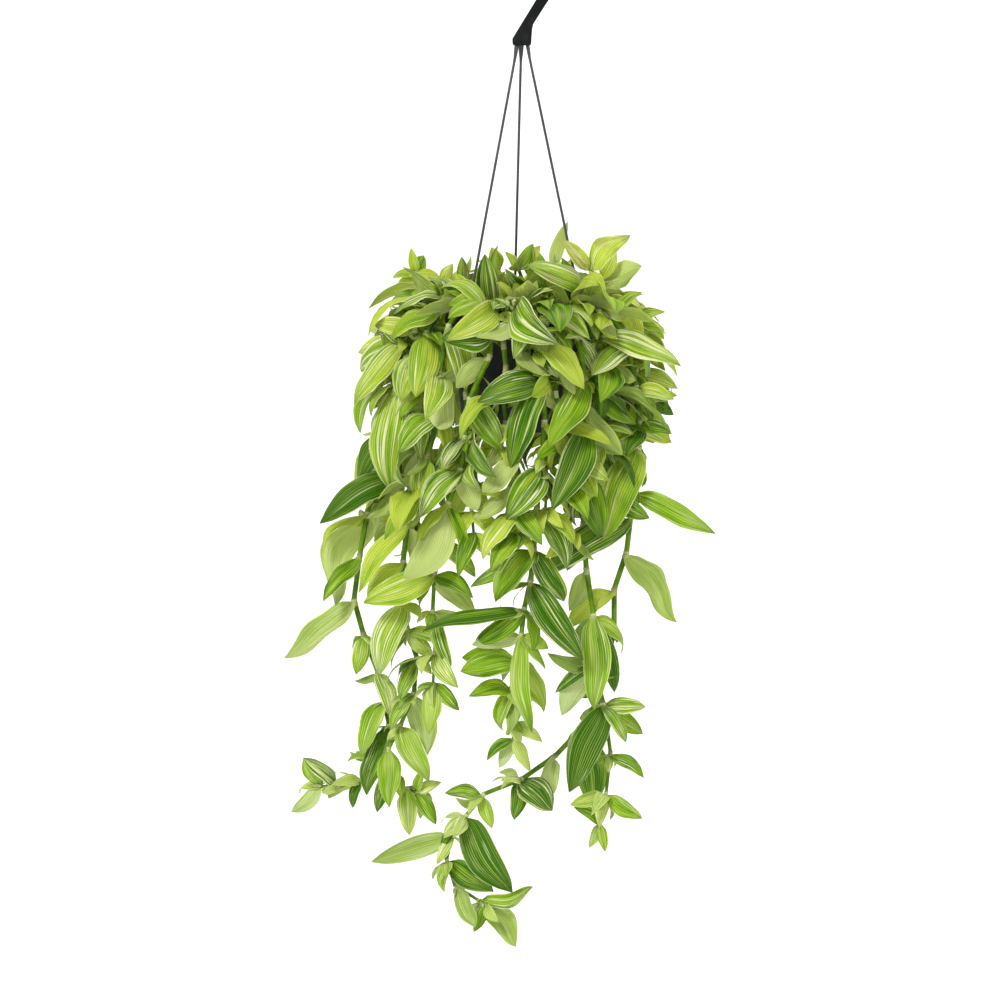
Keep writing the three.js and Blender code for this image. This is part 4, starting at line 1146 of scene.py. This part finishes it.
def leafSurface(leaf, rows, columns, draw):
    # the middle surface of a leaf, as rows of points from its clasping base to just before its tip
    size = leafSize
    length, arch, fold = leaf["length"], leaf["arch"], leaf["fold"]
    width = leaf["width"] * size["fit"]
    widens, narrows, most = size["outline"]
    i = np.arange(rows) / rows
    t = (0.55 * i + 0.45 * (0.5 - 0.5 * np.cos(math.pi * i)))[:, None]
    u = np.linspace(-1, 1, columns + 1)[None, :]
    # widest before the middle, with a drawn-out tip
    half = width / 2 * t ** widens * (1 - t) ** narrows / most * (1 - 0.25 * smooth(t, 0.86, 1))
    half = np.maximum(half, 0.12)
    twist, wave, phase, sway, curl, pleat, dip, crease = draw.random(8)
    curl *= size["looseCurl"] if "kind" in leaf else size["curl"]
    twist = (twist - 0.5) * size["twist"] * 2
    known = knownLooks.get(leaf.get("spot"), ())
    sway = (known[2] if len(known) > 2 else (sway - 0.5) * 2 * size["sway"]) * length
    fold = fold + (crease - 0.5) * 0.36
    # across: folded along the midrib, pleated, and wavy at the margins
    arc = np.sin(math.pi * t)
    x = u * half
    z = fold * half * (0.25 * np.abs(u) + 0.75 * np.abs(u) ** 1.7)
    z = z - 0.05 * half * np.exp(-(u / 0.09) ** 2) * (1 - t)
    z = z + size["pleats"] * (0.6 + 0.8 * pleat) * half * np.cos(2 * math.pi * u * 2.5 + 0.4) * arc
    ripple = np.sin(2 * math.pi * (t * (1.3 + 1.2 * wave) + phase) + np.sign(u) * 1.2)
    z = z + size["wave"] * half * ripple * np.abs(u) ** 2.5 * arc * min(1, length / 60)
    lean = twist * (t - 0.4)
    x, z = x * np.cos(lean) - z * np.sin(lean), x * np.sin(lean) + z * np.cos(lean)
    # along: arched, with a tip that curls down
    rise = 4 * t * (1 - t) * arch * length - curl * length * np.maximum(0, t - 0.7) ** 2
    rise = rise + (dip - 0.5) * size["dip"] * length * np.sin(2 * math.pi * t)
    x = x + sway * arc ** 2
    blade = (leaf["base"] + leaf["chord"] * (length * t)[..., None] + leaf["normal"] * (rise + z)[..., None]
             + leaf["across"] * x[..., None])
    # towards the base the leaf wraps round the stem
    axis = leaf["axis"]
    away = leaf["chord"] - axis * leaf["chord"].dot(axis)
    if np.linalg.norm(away) < 0.15:
        away = leaf["normal"] - axis * leaf["normal"].dot(axis)
    away = unit(away)
    around = np.cross(axis, away)
    if around.dot(leaf["across"]) < 0:
        around = -around
    along = length * t
    ring = leaf["stemRadius"] + 0.75 + 0.1 * along
    angle = u * 1.9
    centre = leaf["base"] + axis * (0.28 * along - 0.6)[..., None]
    hug = centre + away * (ring * np.cos(angle))[..., None] + around * (ring * np.sin(angle))[..., None]
    hold = (1 - smooth(along, 0.5, size["clasp"] * min(1, length / 45)))[..., None]
    surface = blade * (1 - hold) + hug * hold
    tip = leaf["base"] + leaf["chord"] * length - leaf["normal"] * (curl * length * 0.09)
    return surface, tip, t[:, 0], u[0]


def addLeaf(leaf, plant, look, draw):
    # a closed shell: each row of points runs across the top and back below
    size = leafSize
    large = leaf["length"] >= size["largeFrom"]
    rows, columns = size[leaf.get("kind", "large" if large else "small")]
    surface, tip, t, u = leafSurface(leaf, rows, columns, draw)
    tipRow = np.repeat(tip[None, None], columns + 1, 1)
    alongStep = np.gradient(np.concatenate([surface, tipRow]), axis=0)[:-1]
    normals = np.cross(np.gradient(surface, axis=1), alongStep)
    normals = normals / np.maximum(np.linalg.norm(normals, axis=2, keepdims=True), 1e-9)
    row, column = rows // 2, columns // 2
    if normals[row, column].dot(leaf["normal"]) < 0:
        normals = -normals
    body = size["thickness"] / 2 * (1 - np.abs(u) ** 4) * np.ones((rows, 1))
    rib = size["midrib"] * np.exp(-(u / 0.075) ** 2) * (1 - t[:, None]) * (1.0 if large else 0.6)
    top = surface + normals * body[..., None]
    under = surface - normals * (body + rib)[..., None]
    loop = 2 * columns
    shell = np.concatenate([top, under[:, columns - 1:0:-1]], 1).reshape(-1, 3)
    around = 0.5 + np.concatenate([u, u[columns - 1:0:-1]]) / 2
    uvs = [(across, along) for along in t for across in around] + [(0.5, 1.0)]
    first = addPoints(plant, [*shell, tip], [look] * len(uvs))
    # which way round a face goes, so that the top faces outwards
    middle = top[row, column]
    corner = np.cross(top[row, column + 1] - middle, top[row + 1, column] - middle)
    forward = corner.dot(normals[row, column]) > 0

    def put(corners, finish):
        if not forward:
            corners = corners[::-1]
        addFace(plant, tuple(first + c for c in corners), finish, [uvs[c] for c in corners])

    end = rows * loop
    for a in range(0, end, loop):
        for k in range(loop):
            n = (k + 1) % loop
            ahead = (a + loop + n, a + loop + k) if a + loop < end else (end,)
            put((a + k, a + n, *ahead), 0 if k < columns else 1)
        for k in (0, columns):
            plant["margins"].add((first + a + k, first + (a + loop + k if a + loop < end else end)))
    put((1, 0, loop - 1), 1)
    for k in range(1, columns - 1):
        put((k + 1, k, loop - k, loop - k - 1), 1)
    put((columns, columns - 1, columns + 1), 1)


# How light and how striped the leaves are that the table of known looks leaves out.
leafTones = {
    "light": 0.53,
    "lightVaries": 0.9,
    "lightHigh": 0.1,  # added near the pot
    "stripedHigh": 0.1,
    "high": (-520, -400),
    "lightRight": -0.14,  # added on the right, lower than the pot's middle
    "right": (10, 90),
    "rightBelow": -430,
    "lightLeft": 0.02,
    "farLeft": (90, 160),
    "stripedLeft": 0.15,
    "left": (40, 140),
    "lightEnds": 0.12,  # added on a stem's last joints
    "ends": 0.85,
    "kinds": {"filler": -0.08, "shoot": 0.18},
    "lightLeast": -0.3,
    "ribs": (5, 15),
}


def leafCharacter(leaf, draw):
    # how light a leaf is, how much it is striped, and its number of ribs plus a fraction of its own
    tones = leafTones
    x, y, z = leaf["base"] + leaf["along"] * leaf["length"] / 2
    high = smooth(z, *tones["high"])
    light = tones["light"] + tones["lightHigh"] * high
    if z < tones["rightBelow"]:
        light += tones["lightRight"] * smooth(x, *tones["right"])
    light += tones["lightLeft"] * smooth(-x, *tones["farLeft"])
    if leaf["place"] > tones["ends"]:
        light += tones["lightEnds"]
    light += tones["kinds"].get(leaf.get("kind"), 0) + tones["lightVaries"] * (draw.random() - 0.5)
    striped = draw.random() ** 1.5 + tones["stripedLeft"] * smooth(-x, *tones["left"])
    striped += tones["stripedHigh"] * high
    light, striped = knownLooks.get(leaf.get("spot"), (light, striped))[:2]
    fewest, most = tones["ribs"]
    ribs = min(most, max(fewest, round(leaf["width"] / leafLook["ribSpacing"])))
    return (min(1, max(tones["lightLeast"], light)), min(1, striped), ribs + 0.02 + 0.96 * draw.random())


def buildPiece(name, plant, finishes):
    # one mesh of a stem and its leaves, with crisp leaf margins
    piece = makeMesh(name, plant["points"], plant["faces"], finishes, plant["finish"], plant["uvs"])
    mesh = piece.data
    look = mesh.attributes.new("leafLook", "FLOAT_VECTOR", "POINT")
    look.data.foreach_set("vector", np.asarray(plant["looks"], np.float32).ravel())
    ends = np.empty(len(mesh.edges) * 2, np.int64)
    mesh.edges.foreach_get("vertices", ends)
    ends = np.sort(ends.reshape(-1, 2), 1)
    count = len(plant["points"])
    wanted = np.array(sorted(plant["margins"]), np.int64).reshape(-1, 2)
    crisp = np.isin(ends[:, 0] * count + ends[:, 1], wanted[:, 0] * count + wanted[:, 1])
    mark = mesh.attributes.new("sharp_edge", "BOOLEAN", "EDGE")
    mark.data.foreach_set("value", crisp)
    mesh.update()
    return piece


# Smaller leaves and side shoots that fill the space between the large leaves.
moreLeaves = {
    "seed": 77,
    "tries": 10,
    "touching": 3,  # meetings with other leaves above which a leaf is left out
    "placedTouching": 8,
    "covering": 2,  # points before a leaf that stands out above which it is left out
    "fillers": 1.5,  # at each joint, in the dense upper part
    "fillersLow": 0.12,  # and towards the stems' ends
    "thinsFrom": -640,
    "thinsTo": -730,
    "fillerLength": (40, 70),
    "skirt": (-530, -650),
    "skirtFillers": 2.4,  # and at each joint of the short stems' ends
    "crownFillers": 2,  # and of the crown
    "crownLength": (28, 54),
    "crownFrom": -440,
    "crownTo": -375,
    "crownMiddle": 4,
    "crownTop": -314,  # height of the crown's rounded top, and how fast it falls to the sides
    "crownFall": 0.0018,
    "shoots": 0.8,
    "shootsLow": 2.4,
    "shootLeaves": 3,
    "shootLength": (15, 34),
    "turn": 110,  # degrees to either side, and how much more in the crown
    "crownTurn": 60,
    "spread": (25, 50),  # degrees from the stem; pairs from here are a least value and what chance adds
    "droop": {"filler": 0.35, "shoot": 0.1},
    "crownRise": (0.2, 0.9),
    "roll": 1.2,
    "undersides": 0.1,
    "width": (0.36, 0.16),
    "arch": (0.06, 0.16),
    "fold": 0.45,
    "placedArch": 0.12,
    "placedFold": -0.2,
    "bare": {"long_stem_right": (-480, -745), "long_stem_right_front": (-605, -655),
             "long_stem_left": (-570, -680)},
    "full": {"long_stem_middle": 1.1, "long_stem_front": 0.8, "long_stem_left_front": 0.6},
    # how far the plant reaches on the sheet: down to, from the left, to the right
    "reach": [(300, 388, 652), (345, 364, 670), (440, 352, 682), (500, 345, 642), (620, 318, 618),
              (700, 350, 624), (830, 290, 645), (1000, 430, 530)],
    "openPlaces": [(467, 735, 26, 42), (467, 765, 30, 15), (387, 625, 8, 25), (520, 750, 30, 10),
                   (545, 733, 20, 14), (577, 592, 8, 18), (366, 345, 12, 18), (358, 415, 10, 16)],
}

# Small leaves of the photo that the solids leave out: stem, joint, place of the tip on the sheet, how far
# it comes forward, 1 for its top or -1 for its underside, and width.
placedLeaves = [
    ("long_stem_front", 10, 476, 610, 4, -1, 24), ("long_stem_front", 9, 478, 574, 0, 1, 18),
    ("long_stem_left_front", 4, 455, 426, -6, 1, 18), ("long_stem_middle", 8, 470, 584, -8, 1, 18),
    ("long_stem_middle", 8, 566, 600, -8, 1, 24), ("long_stem_middle", 10, 474, 643, -6, 1, 22),
    ("long_stem_middle", 11, 548, 644, 2, 1, 16), ("long_stem_middle", 12, 462, 654, -8, 1, 24),
    ("long_stem_right_front", 10, 554, 690, -4, 1, 12), ("long_stem_right_front", 10, 550, 664, -8, 1, 22),
    ("long_stem_right_front", 11, 645, 703, -6, 1, 18), ("long_stem_right_front", 9, 616, 694, -8, 1, 20),
    ("top_stem_far_left", 6, 424, 252, -6, 1, 16), ("top_stem_far_left", 4, 452, 262, 6, 1, 14),
    ("top_stem_back", 4, 492, 243, 4, 1, 16), ("top_stem_middle", 4, 532, 243, 6, 1, 16),
    ("top_stem_right_front", 5, 610, 232, -6, 1, 18), ("long_stem_right", 19, 440, 848, 4, 1, 12),
    ("long_stem_right", 20, 437, 862, 8, 1, 12), ("long_stem_left_front", 3, 457, 398, -10, 1, 18),
    ("long_stem_left_front", 11, 434, 655, 4, 1, 18), ("long_stem_front", 11, 452, 668, 6, 1, 16),
    ("rim_stem_28", 5, 664, 326, 4, 1, 14), ("rim_stem_28", 7, 678, 384, 4, 1, 18),
    ("rim_stem_28", 8, 674, 412, 2, 1, 18), ("rim_stem_28", 9, 672, 440, 2, 1, 20),
    ("rim_stem_28", 10, 656, 464, -4, 1, 12), ("top_stem_far_left", 3, 462, 254, 0, 1, 14),
    ("top_stem_mid_right", 3, 536, 247, 0, 1, 14), ("top_stem_far_left", 4, 437, 336, -6, 1, 22),
    ("long_stem_right_front", 3, 596, 376, -8, 1, 16),
]


def leafAlong(start, kind, chord, normal, length, width, arch, fold):
    return {**start, "kind": kind, "chord": chord, "along": chord, "normal": normal,
            "across": np.cross(chord, normal), "length": length, "width": width, "arch": arch, "fold": fold}


def placedLeaf(stem, i, x, y, forward, face, width):
    start = leafStart(stem, i, stemSize["lastLoose"])
    reach = sheetPoint(x, y, stem["joints"][i][1] - forward) - start["base"]
    chord = unit(reach)
    normal = facing(chord, front * 0.9 + up * 0.4) * face
    return leafAlong(start, "filler", chord, normal, np.linalg.norm(reach), width, moreLeaves["placedArch"],
                     moreLeaves["placedFold"])


def looseLeaf(stem, i, kind, draw):
    # a leaf that leaves its joint in a free direction, drooping a little
    rule = moreLeaves
    start = leafStart(stem, i, stemSize["lastLoose"])
    axis = start["axis"]
    out = outFrom(stem, i)
    across = unit(np.cross(up, out))
    crown = float(smooth(stem["joints"][i][2], rule["crownFrom"], rule["crownTo"]))
    turn = math.radians(rule["turn"] + rule["crownTurn"] * crown) * (2 * draw.random() - 1)
    away = out * math.cos(turn) + across * math.sin(turn)
    away = unit(away - axis * away.dot(axis) * 0.9)
    spread = math.radians(chance(rule["spread"], draw.random()))
    chord = axis * math.cos(spread) + away * math.sin(spread)
    low, high = rule["crownLength" if crown > 0.5 and kind == "filler" else kind + "Length"]
    length = (low + (high - low) * draw.random()) * stem["leaf"]
    rise = crown * chance(rule["crownRise"], draw.random()) - rule["droop"][kind] * (1 - crown)
    chord = unit(chord + up * rise)
    roll = (draw.random() - 0.5) * rule["roll"]
    normal = facing(chord, away * 0.6 + up * 0.6 + front * 0.35, roll)
    if draw.random() < rule["undersides"]:
        normal = -normal
    width = length * chance(rule["width"], draw.random()) + 1
    arch = chance(rule["arch"], draw.random())
    fold = rule["fold"] * (draw.random() - 0.5)
    return leafAlong(start, kind, chord, normal, length, width, arch, fold)


def leafPatch(leaf, seed):
    # the outer part of a leaf as a coarse net, to feel for what it would touch
    rows, columns = leafSize["patch"]
    surface, tip, _, _ = leafSurface(leaf, rows, columns, np.random.default_rng(seed))
    net = surface[leafSize["patchFrom"]:]
    points = [Vector(p) for p in net.reshape(-1, 3)] + [Vector(tip)]
    wide = columns + 1
    last = (len(net) - 1) * wide
    faces = [(a + c, a + c + 1, a + c + 1 + wide, a + c + wide) for a in range(0, last, wide)
             for c in range(columns)]
    faces += [(last + c, last + c + 1, last + wide) for c in range(columns)]
    return points, faces


def within(x, y, place, spare=0):
    # whether a point lies in an oval on the sheet
    right, down, halfWidth, halfHeight = place
    across, along = (x - right) / (halfWidth + spare), (y - down) / (halfHeight + spare)
    return across * across + along * along < 1


def hidesPot(net):
    # whether a leaf in front of the pot covers one of the places where the pot shows
    x, y = onSheet(net)
    return any((within(x, y, place, 2) & (net[:, 1] < 0)).any() for place in potWindows)


def outOfReach(net):
    # whether a leaf leaves the plant's outline, or hangs in one of the wide gaps between its stems
    x, y = onSheet(net)
    if any(within(x, y, place).any() for place in moreLeaves["openPlaces"]):
        return True
    for px, py in zip(x, y):
        left, right = next(reach[1:] for reach in moreLeaves["reach"] if py < reach[0])
        if not left < px < right:
            return True
    return False


def coversTraced(net, traced):
    # whether a leaf hangs before one of those that stand out in the photo
    x, y = net[:, 0], seenHeight(net)
    for base, tip, half in traced:
        dx, dy = tip[0] - base[0], seenHeight(tip) - seenHeight(base)
        fromX, fromY = x - base[0], y - seenHeight(base)
        seen = max(1, math.hypot(dx, dy))
        along = (fromX * dx + fromY * dy) / seen ** 2
        aside = np.abs(fromX * dy - fromY * dx) / seen
        before = net[:, 1] < base[1] + (tip[1] - base[1]) * along
        if ((along > 0.15) & (along < 0.92) & (aside < half) & before).sum() > moreLeaves["covering"]:
            return True
    return False


def overCrown(net):
    # whether a leaf stands higher than the crown's rounded top, which its own tall leaves break
    x = net[:, 0] - moreLeaves["crownMiddle"]
    return (seenHeight(net) > moreLeaves["crownTop"] - moreLeaves["crownFall"] * x * x).any()


def standingLeaves(stems):
    # the pot, the legs and the leaves that are there already, to feel for what a new leaf would touch
    points, faces = [], []

    def gather(newPoints, newFaces):
        first = len(points)
        points.extend(newPoints)
        faces.extend([tuple(first + k for k in face) for face in newFaces])

    for name in ("pot", "hanger_leg_back", "hanger_leg_left", "hanger_leg_right"):
        solid = frame["nodes"][name].data
        gather([v.co / mm for v in solid.vertices], [tuple(p.vertices) for p in solid.polygons])
    for stem in stems:
        for leaf, _, seed in stem["leaves"]:
            gather(*leafPatch(leaf, seed))
    return bvhtree.BVHTree.FromPolygons(points, faces)


def wantedLeaves(stem, z, draw):
    # the kinds of the smaller leaves to try at a joint of this height
    rule = moreLeaves
    share = float(smooth(z, rule["thinsTo"], rule["thinsFrom"]))
    low = rule["full"].get(stem["name"], rule["fillersLow"])
    fillers = int(low + (rule["fillers"] - low) * share + draw.random())
    if stem["name"].startswith("rim") and rule["skirt"][1] < z < rule["skirt"][0]:
        fillers = int(rule["skirtFillers"] + draw.random())
    if z > rule["crownFrom"]:
        fillers = rule["crownFillers"]
    wanted = ["filler"] * fillers
    shoots = rule["shoots"] + (rule["shootsLow"] - rule["shoots"]) * (1 - share)
    for _ in range(int(shoots + draw.random())):
        wanted += ["shoot"] * int(1 + rule["shootLeaves"] * draw.random())
    bareTop, bareEnd = rule["bare"].get(stem["name"], (0, 0))
    return [] if bareEnd < z < bareTop else wanted


def addLooseLeaves(stems):
    # tries a few directions for each leaf and keeps the one that stays clear of the rest
    rule = moreLeaves
    fixed = standingLeaves(stems)
    traced = [(leaf["base"], leaf["base"] + leaf["chord"] * leaf["length"], 0.42 * leaf["width"])
              for stem in stems for leaf, _, _ in stem["leaves"] if leaf.get("spot") in knownLooks]
    lowest, highest = np.array(cadLow) / mm, np.array(cadHigh) / mm
    draw = np.random.default_rng(rule["seed"])
    added = []

    def patchOf(leaf):
        # the seed of the leaf's own waves, the corners of its net, and the net
        seed = int(draw.random() * 1e6)
        net = leafPatch(leaf, seed)
        return seed, np.array(net[0]), net

    def feel(net):
        tree = bvhtree.BVHTree.FromPolygons(*net)
        return tree, len(tree.overlap(fixed))

    def keep(stem, leaf, seed, corners, tree):
        added.append((corners.min(0), corners.max(0), tree))
        stem["leaves"].append((leaf, leafCharacter(leaf, draw), seed))

    byName = {stem["name"]: stem for stem in stems}
    for name, i, *where in placedLeaves:
        leaf = placedLeaf(byName[name], i, *where)
        seed, corners, net = patchOf(leaf)
        tree, hits = feel(net)
        if hits > rule["placedTouching"]:
            print("plant: no room for the placed leaf of", name, i, hits)
            continue
        keep(byName[name], leaf, seed, corners, tree)
    for stem in stems:
        for i in range(2, len(stem["joints"])):
            for kind in wantedLeaves(stem, stem["joints"][i][2], draw):
                best = None
                for _ in range(rule["tries"]):
                    leaf = looseLeaf(stem, i, kind, draw)
                    seed, corners, net = patchOf(leaf)
                    if (corners < lowest).any() or (corners > highest).any():
                        continue
                    if hidesPot(corners) or overCrown(corners) or outOfReach(corners):
                        continue
                    if coversTraced(corners, traced):
                        continue
                    tree, hits = feel(net)
                    near, far = corners.min(0), corners.max(0)
                    for otherNear, otherFar, other in added:
                        if hits > rule["touching"]:
                            break
                        if (near < otherFar).all() and (otherNear < far).all():
                            hits += len(tree.overlap(other))
                    if best is None or hits < best[0]:
                        best = (hits, leaf, seed, corners, tree)
                    if hits == 0:
                        break
                if best and best[0] <= rule["touching"]:
                    keep(stem, *best[1:])
    return len(added)


leafLook = {
    "deep": (0.040, 0.148, 0.002, 1),
    "mid": (0.210, 0.420, 0.007, 1),
    "light": (0.585, 0.690, 0.085, 1),
    "cream": (0.900, 0.905, 0.560, 1),
    # painted sheen: a greyish green streaked over the leaf tops
    "paintedSheen": (0.370, 0.480, 0.125, 1),
    "vein": (0.670, 0.730, 0.195, 1),
    "under": (0.590, 0.680, 0.250, 1),
    "underDeep": (0.340, 0.480, 0.090, 1),
    "coolFrom": (-0.56, -0.74),
    "dry": (0.300, 0.230, 0.085, 1),  # brownish patches in the crown
    "dryFrom": (-0.375, -0.335),
    "glow": (0.73, 0.82, 0.08, 1),  # light that comes through a leaf
    "glowDeep": (0.28, 0.42, 0.01, 1),
    "throughLight": 0.36,
    "stripes": 18.0,  # how fine the cream stripes are, across a leaf
    "ribSpacing": 2.4,  # millimetres between the raised ribs where a leaf is widest
    "ribDepth": 0.00032,
    "leafTop": {
        "cool": (0.92, 0.95, 2.2, 1),  # what the greens are multiplied by on the low shoots
        "paintedGrooveShade": 0.76,  # painted shade: how dark the green is made between the ribs
        "creamMost": 0.85,
        "roughness": (0.39, 0.55),
        "gloss": 0.12,
        "midrib": 1.0,
        "bump": 0.8,
    },
    "leafUnder": {
        "cool": (0.92, 0.93, 1.5, 1),
        "paintedGrooveShade": 0.84,
        "creamMost": 0.35,
        "roughness": (0.51, 0.67),
        "gloss": 0.072,
        "midrib": -1.0,
        "bump": 0.5,
    },
}
stemLook = {
    "green": (0.050, 0.122, 0.003, 1),
    "lightGreen": (0.130, 0.240, 0.008, 1),
    "sheath": (0.480, 0.560, 0.240, 1),
    "ring": (0.620, 0.640, 0.360, 1),
    "blush": (0.170, 0.070, 0.035, 1),  # brownish red at some joints
    "lines": 9,
    "roughness": (0.38, 0.57),
    "gloss": 0.1,
    "grain": 0.00018,
}


def plantSpots(mat):
    # across and along a leaf or a stem, and the three values that its points carry
    u, t, _ = axesOf(node(mat.node_tree, "ShaderNodeUVMap", uv_map="plantUv").outputs[0])
    own = node(mat.node_tree, "ShaderNodeAttribute", attribute_name="leafLook").outputs["Vector"]
    return u, t, axesOf(own)


def wavesOf(turns):
    return times(plus(calculate("SINE", times(turns, 2 * math.pi)), 1.0), 0.5)


def leafMaterial(name):
    look, side = leafLook, leafLook[name]
    mat, shader, spot = startMaterial(name)
    u, t, (tone, striped, seedAndRibs) = plantSpots(mat)
    ribs = calculate("FLOOR", seedAndRibs)
    shift = times(calculate("FRACT", seedAndRibs), 37.0)

    def streaks(across, along, offset, detail):
        # long streaks that follow the ribs, which run together at the base and the tip
        return noiseAt(vectorOf(times(u, across), times(t, along), plus(shift, offset)), 1.0, detail, 0.55)

    fine = streaks(look["stripes"], 1.0, 0.0, 2.0)
    wide = streaks(4.5, 1.3, 7.3, 2.0)
    strength = streaks(ribs, 0.7, 13.7, 1.0)
    edge = calculate("ABSOLUTE", minus(u, 0.5))
    midrib = ramp(edge, 0.0, 0.02, 1.0, 0.0)
    waves = wavesOf(times(u, ribs))
    broad = plus(tone, times(minus(wide, 0.5), 1.5))
    if name == "leafUnder":
        green = mixColours(ramp(broad, 0.1, 0.9), look["underDeep"], look["under"])
    else:
        green = mixColours(ramp(broad, 0.0, 0.5), look["deep"], look["mid"])
        green = mixColours(ramp(broad, 0.42, 1.0), green, look["light"])
        # painted sheen: greyish streaks laid over the green of the tops
        paintedSheen = streaks(3.2, 1.6, 19.1, 3.0)
        green = mixColours(ramp(paintedSheen, 0.54, 0.76, 0.0, 0.6), green, look["paintedSheen"])
    # cooler low down, and dry in places in the crown
    height = axesOf(spot)[2]
    low = times(ramp(height, *look["coolFrom"][::-1], 1.0, 0.0), ramp(broad, 0.1, 0.8, 0.2, 1.0))
    green = mixColours(low, green, side["cool"], "MULTIPLY")
    patches = ramp(noiseAt(spot, 42.0, 3.0, 0.6), 0.53, 0.66, 0.0, 0.6)
    green = mixColours(times(ramp(height, *look["dryFrom"]), patches), green, look["dry"])
    # pale ribs of uneven strength, with painted shade that darkens the green between them
    paleRib = times(ramp(waves, 0.74, 1.0), ramp(strength, 0.34, 0.68))
    green = mixColours(times(paleRib, plus(times(striped, 0.4), 0.45)), green, look["vein"])
    shade = ramp(waves, 0.0, 0.7, side["paintedGrooveShade"], 1.05)
    green = mixColours(1.0, green, vectorOf(shade, shade, shade), "MULTIPLY")
    # cream stripes and edges
    cream = ramp(minus(fine, minus(0.735, times(striped, 0.20))), -0.012, 0.050, 0.0, side["creamMost"])
    edging = times(ramp(edge, 0.462, 0.492), plus(times(striped, 0.6), 0.25))
    cream = calculate("MAXIMUM", cream, edging)
    colour = mixColours(cream, green, look["cream"])
    colour = mixColours(times(midrib, 0.5), colour, look["vein"])
    colour = mixColours(ramp(t, 0.0, 0.07, 0.75, 0.0), colour, look["vein"])
    relief = minus(plus(waves, times(fine, 0.8)), times(midrib, side["midrib"]))
    rough = ramp(wide, 0.3, 0.7, *side["roughness"])
    normal = finishShader(shader, colour, rough, side["gloss"], relief, side["bump"], look["ribDepth"])
    # part of the light goes through the thin blade
    glow = mixColours(ramp(broad, 0.0, 0.6), look["glowDeep"], look["glow"])
    inner = {"Color": mixColours(cream, glow, look["cream"]), "Normal": normal}
    through = connect("ShaderNodeBsdfTranslucent", inner)[0]
    both = {"Fac": look["throughLight"], 1: shader.outputs[0], 2: through}
    feed(mat.node_tree.nodes["Material Output"].inputs["Surface"], connect("ShaderNodeMixShader", both)[0])
    return mat


def stemMaterial(name):
    look = stemLook
    mat, shader, spot = startMaterial(name)
    u, _, (ring, sheath, _) = plantSpots(mat)
    patches = noiseAt(spot, 70.0, 3.0, 0.6)
    lines = wavesOf(times(u, look["lines"]))
    colour = mixColours(ramp(patches, 0.35, 0.65), look["green"], look["lightGreen"])
    colour = mixColours(times(lines, 0.22), colour, look["lightGreen"])
    colour = mixColours(times(sheath, 0.8), colour, look["sheath"])
    colour = mixColours(times(ring, 0.85), colour, look["ring"])
    joints = calculate("MAXIMUM", ring, times(sheath, 0.5))
    reddish = times(ramp(noiseAt(spot, 38.0), 0.48, 0.58), joints)
    colour = mixColours(times(reddish, 0.8), colour, look["blush"])
    rough = ramp(patches, 0.3, 0.7, *look["roughness"])
    relief = plus(lines, noiseAt(spot, 900.0, 2.0, 0.6))
    finishShader(shader, colour, rough, look["gloss"], relief, 0.6, look["grain"])
    return mat


def growPlant():
    stems = layOutStems()
    planned = kept = 0
    for stem in stems:
        solid = frame["nodes"][stem["name"]].data
        tips = kdtree.KDTree(len(solid.vertices))
        for vertex in solid.vertices:
            tips.insert(vertex.co / mm, vertex.index)
        tips.balance()
        draw = np.random.default_rng(stem["seed"])
        stem["leaves"] = []
        for leaf in plannedLeaves(stem):
            planned += 1
            shape = keptLeaf(leaf, tips)
            look = leafCharacter(leaf, draw)
            seed = int(draw.random() * 1e6)
            if shape:
                kept += 1
                stem["leaves"].append((shape, look, seed))
    print("plant:", kept, "leaves of the", planned, "planned")
    print("plant:", addLooseLeaves(stems), "smaller leaves")
    finishes = [leafMaterial("leafTop"), leafMaterial("leafUnder"), stemMaterial("plantStem")]
    for stem in stems:
        plant = {"points": [], "looks": [], "faces": [], "finish": [], "uvs": [], "margins": set()}
        addStem(stem, plant)
        for leaf, look, seed in stem["leaves"]:
            addLeaf(leaf, plant, look, np.random.default_rng(seed))
        settle(buildPiece("leafy_" + stem["name"], plant, finishes), "leafy_stem", stem["name"])
    return len(stems)


print("plant:", growPlant(), "leafy stems")

graph = bpy.context.evaluated_depsgraph_get()
most = total = 0
for piece in bpy.context.scene.objects:
    if piece.type == "MESH" and not piece.hide_render:
        count = sum(len(face.vertices) - 2 for face in piece.evaluated_get(graph).data.polygons)
        most, total = max(most, count), total + count
print("triangles:", total, "in all,", most, "at most in a piece")
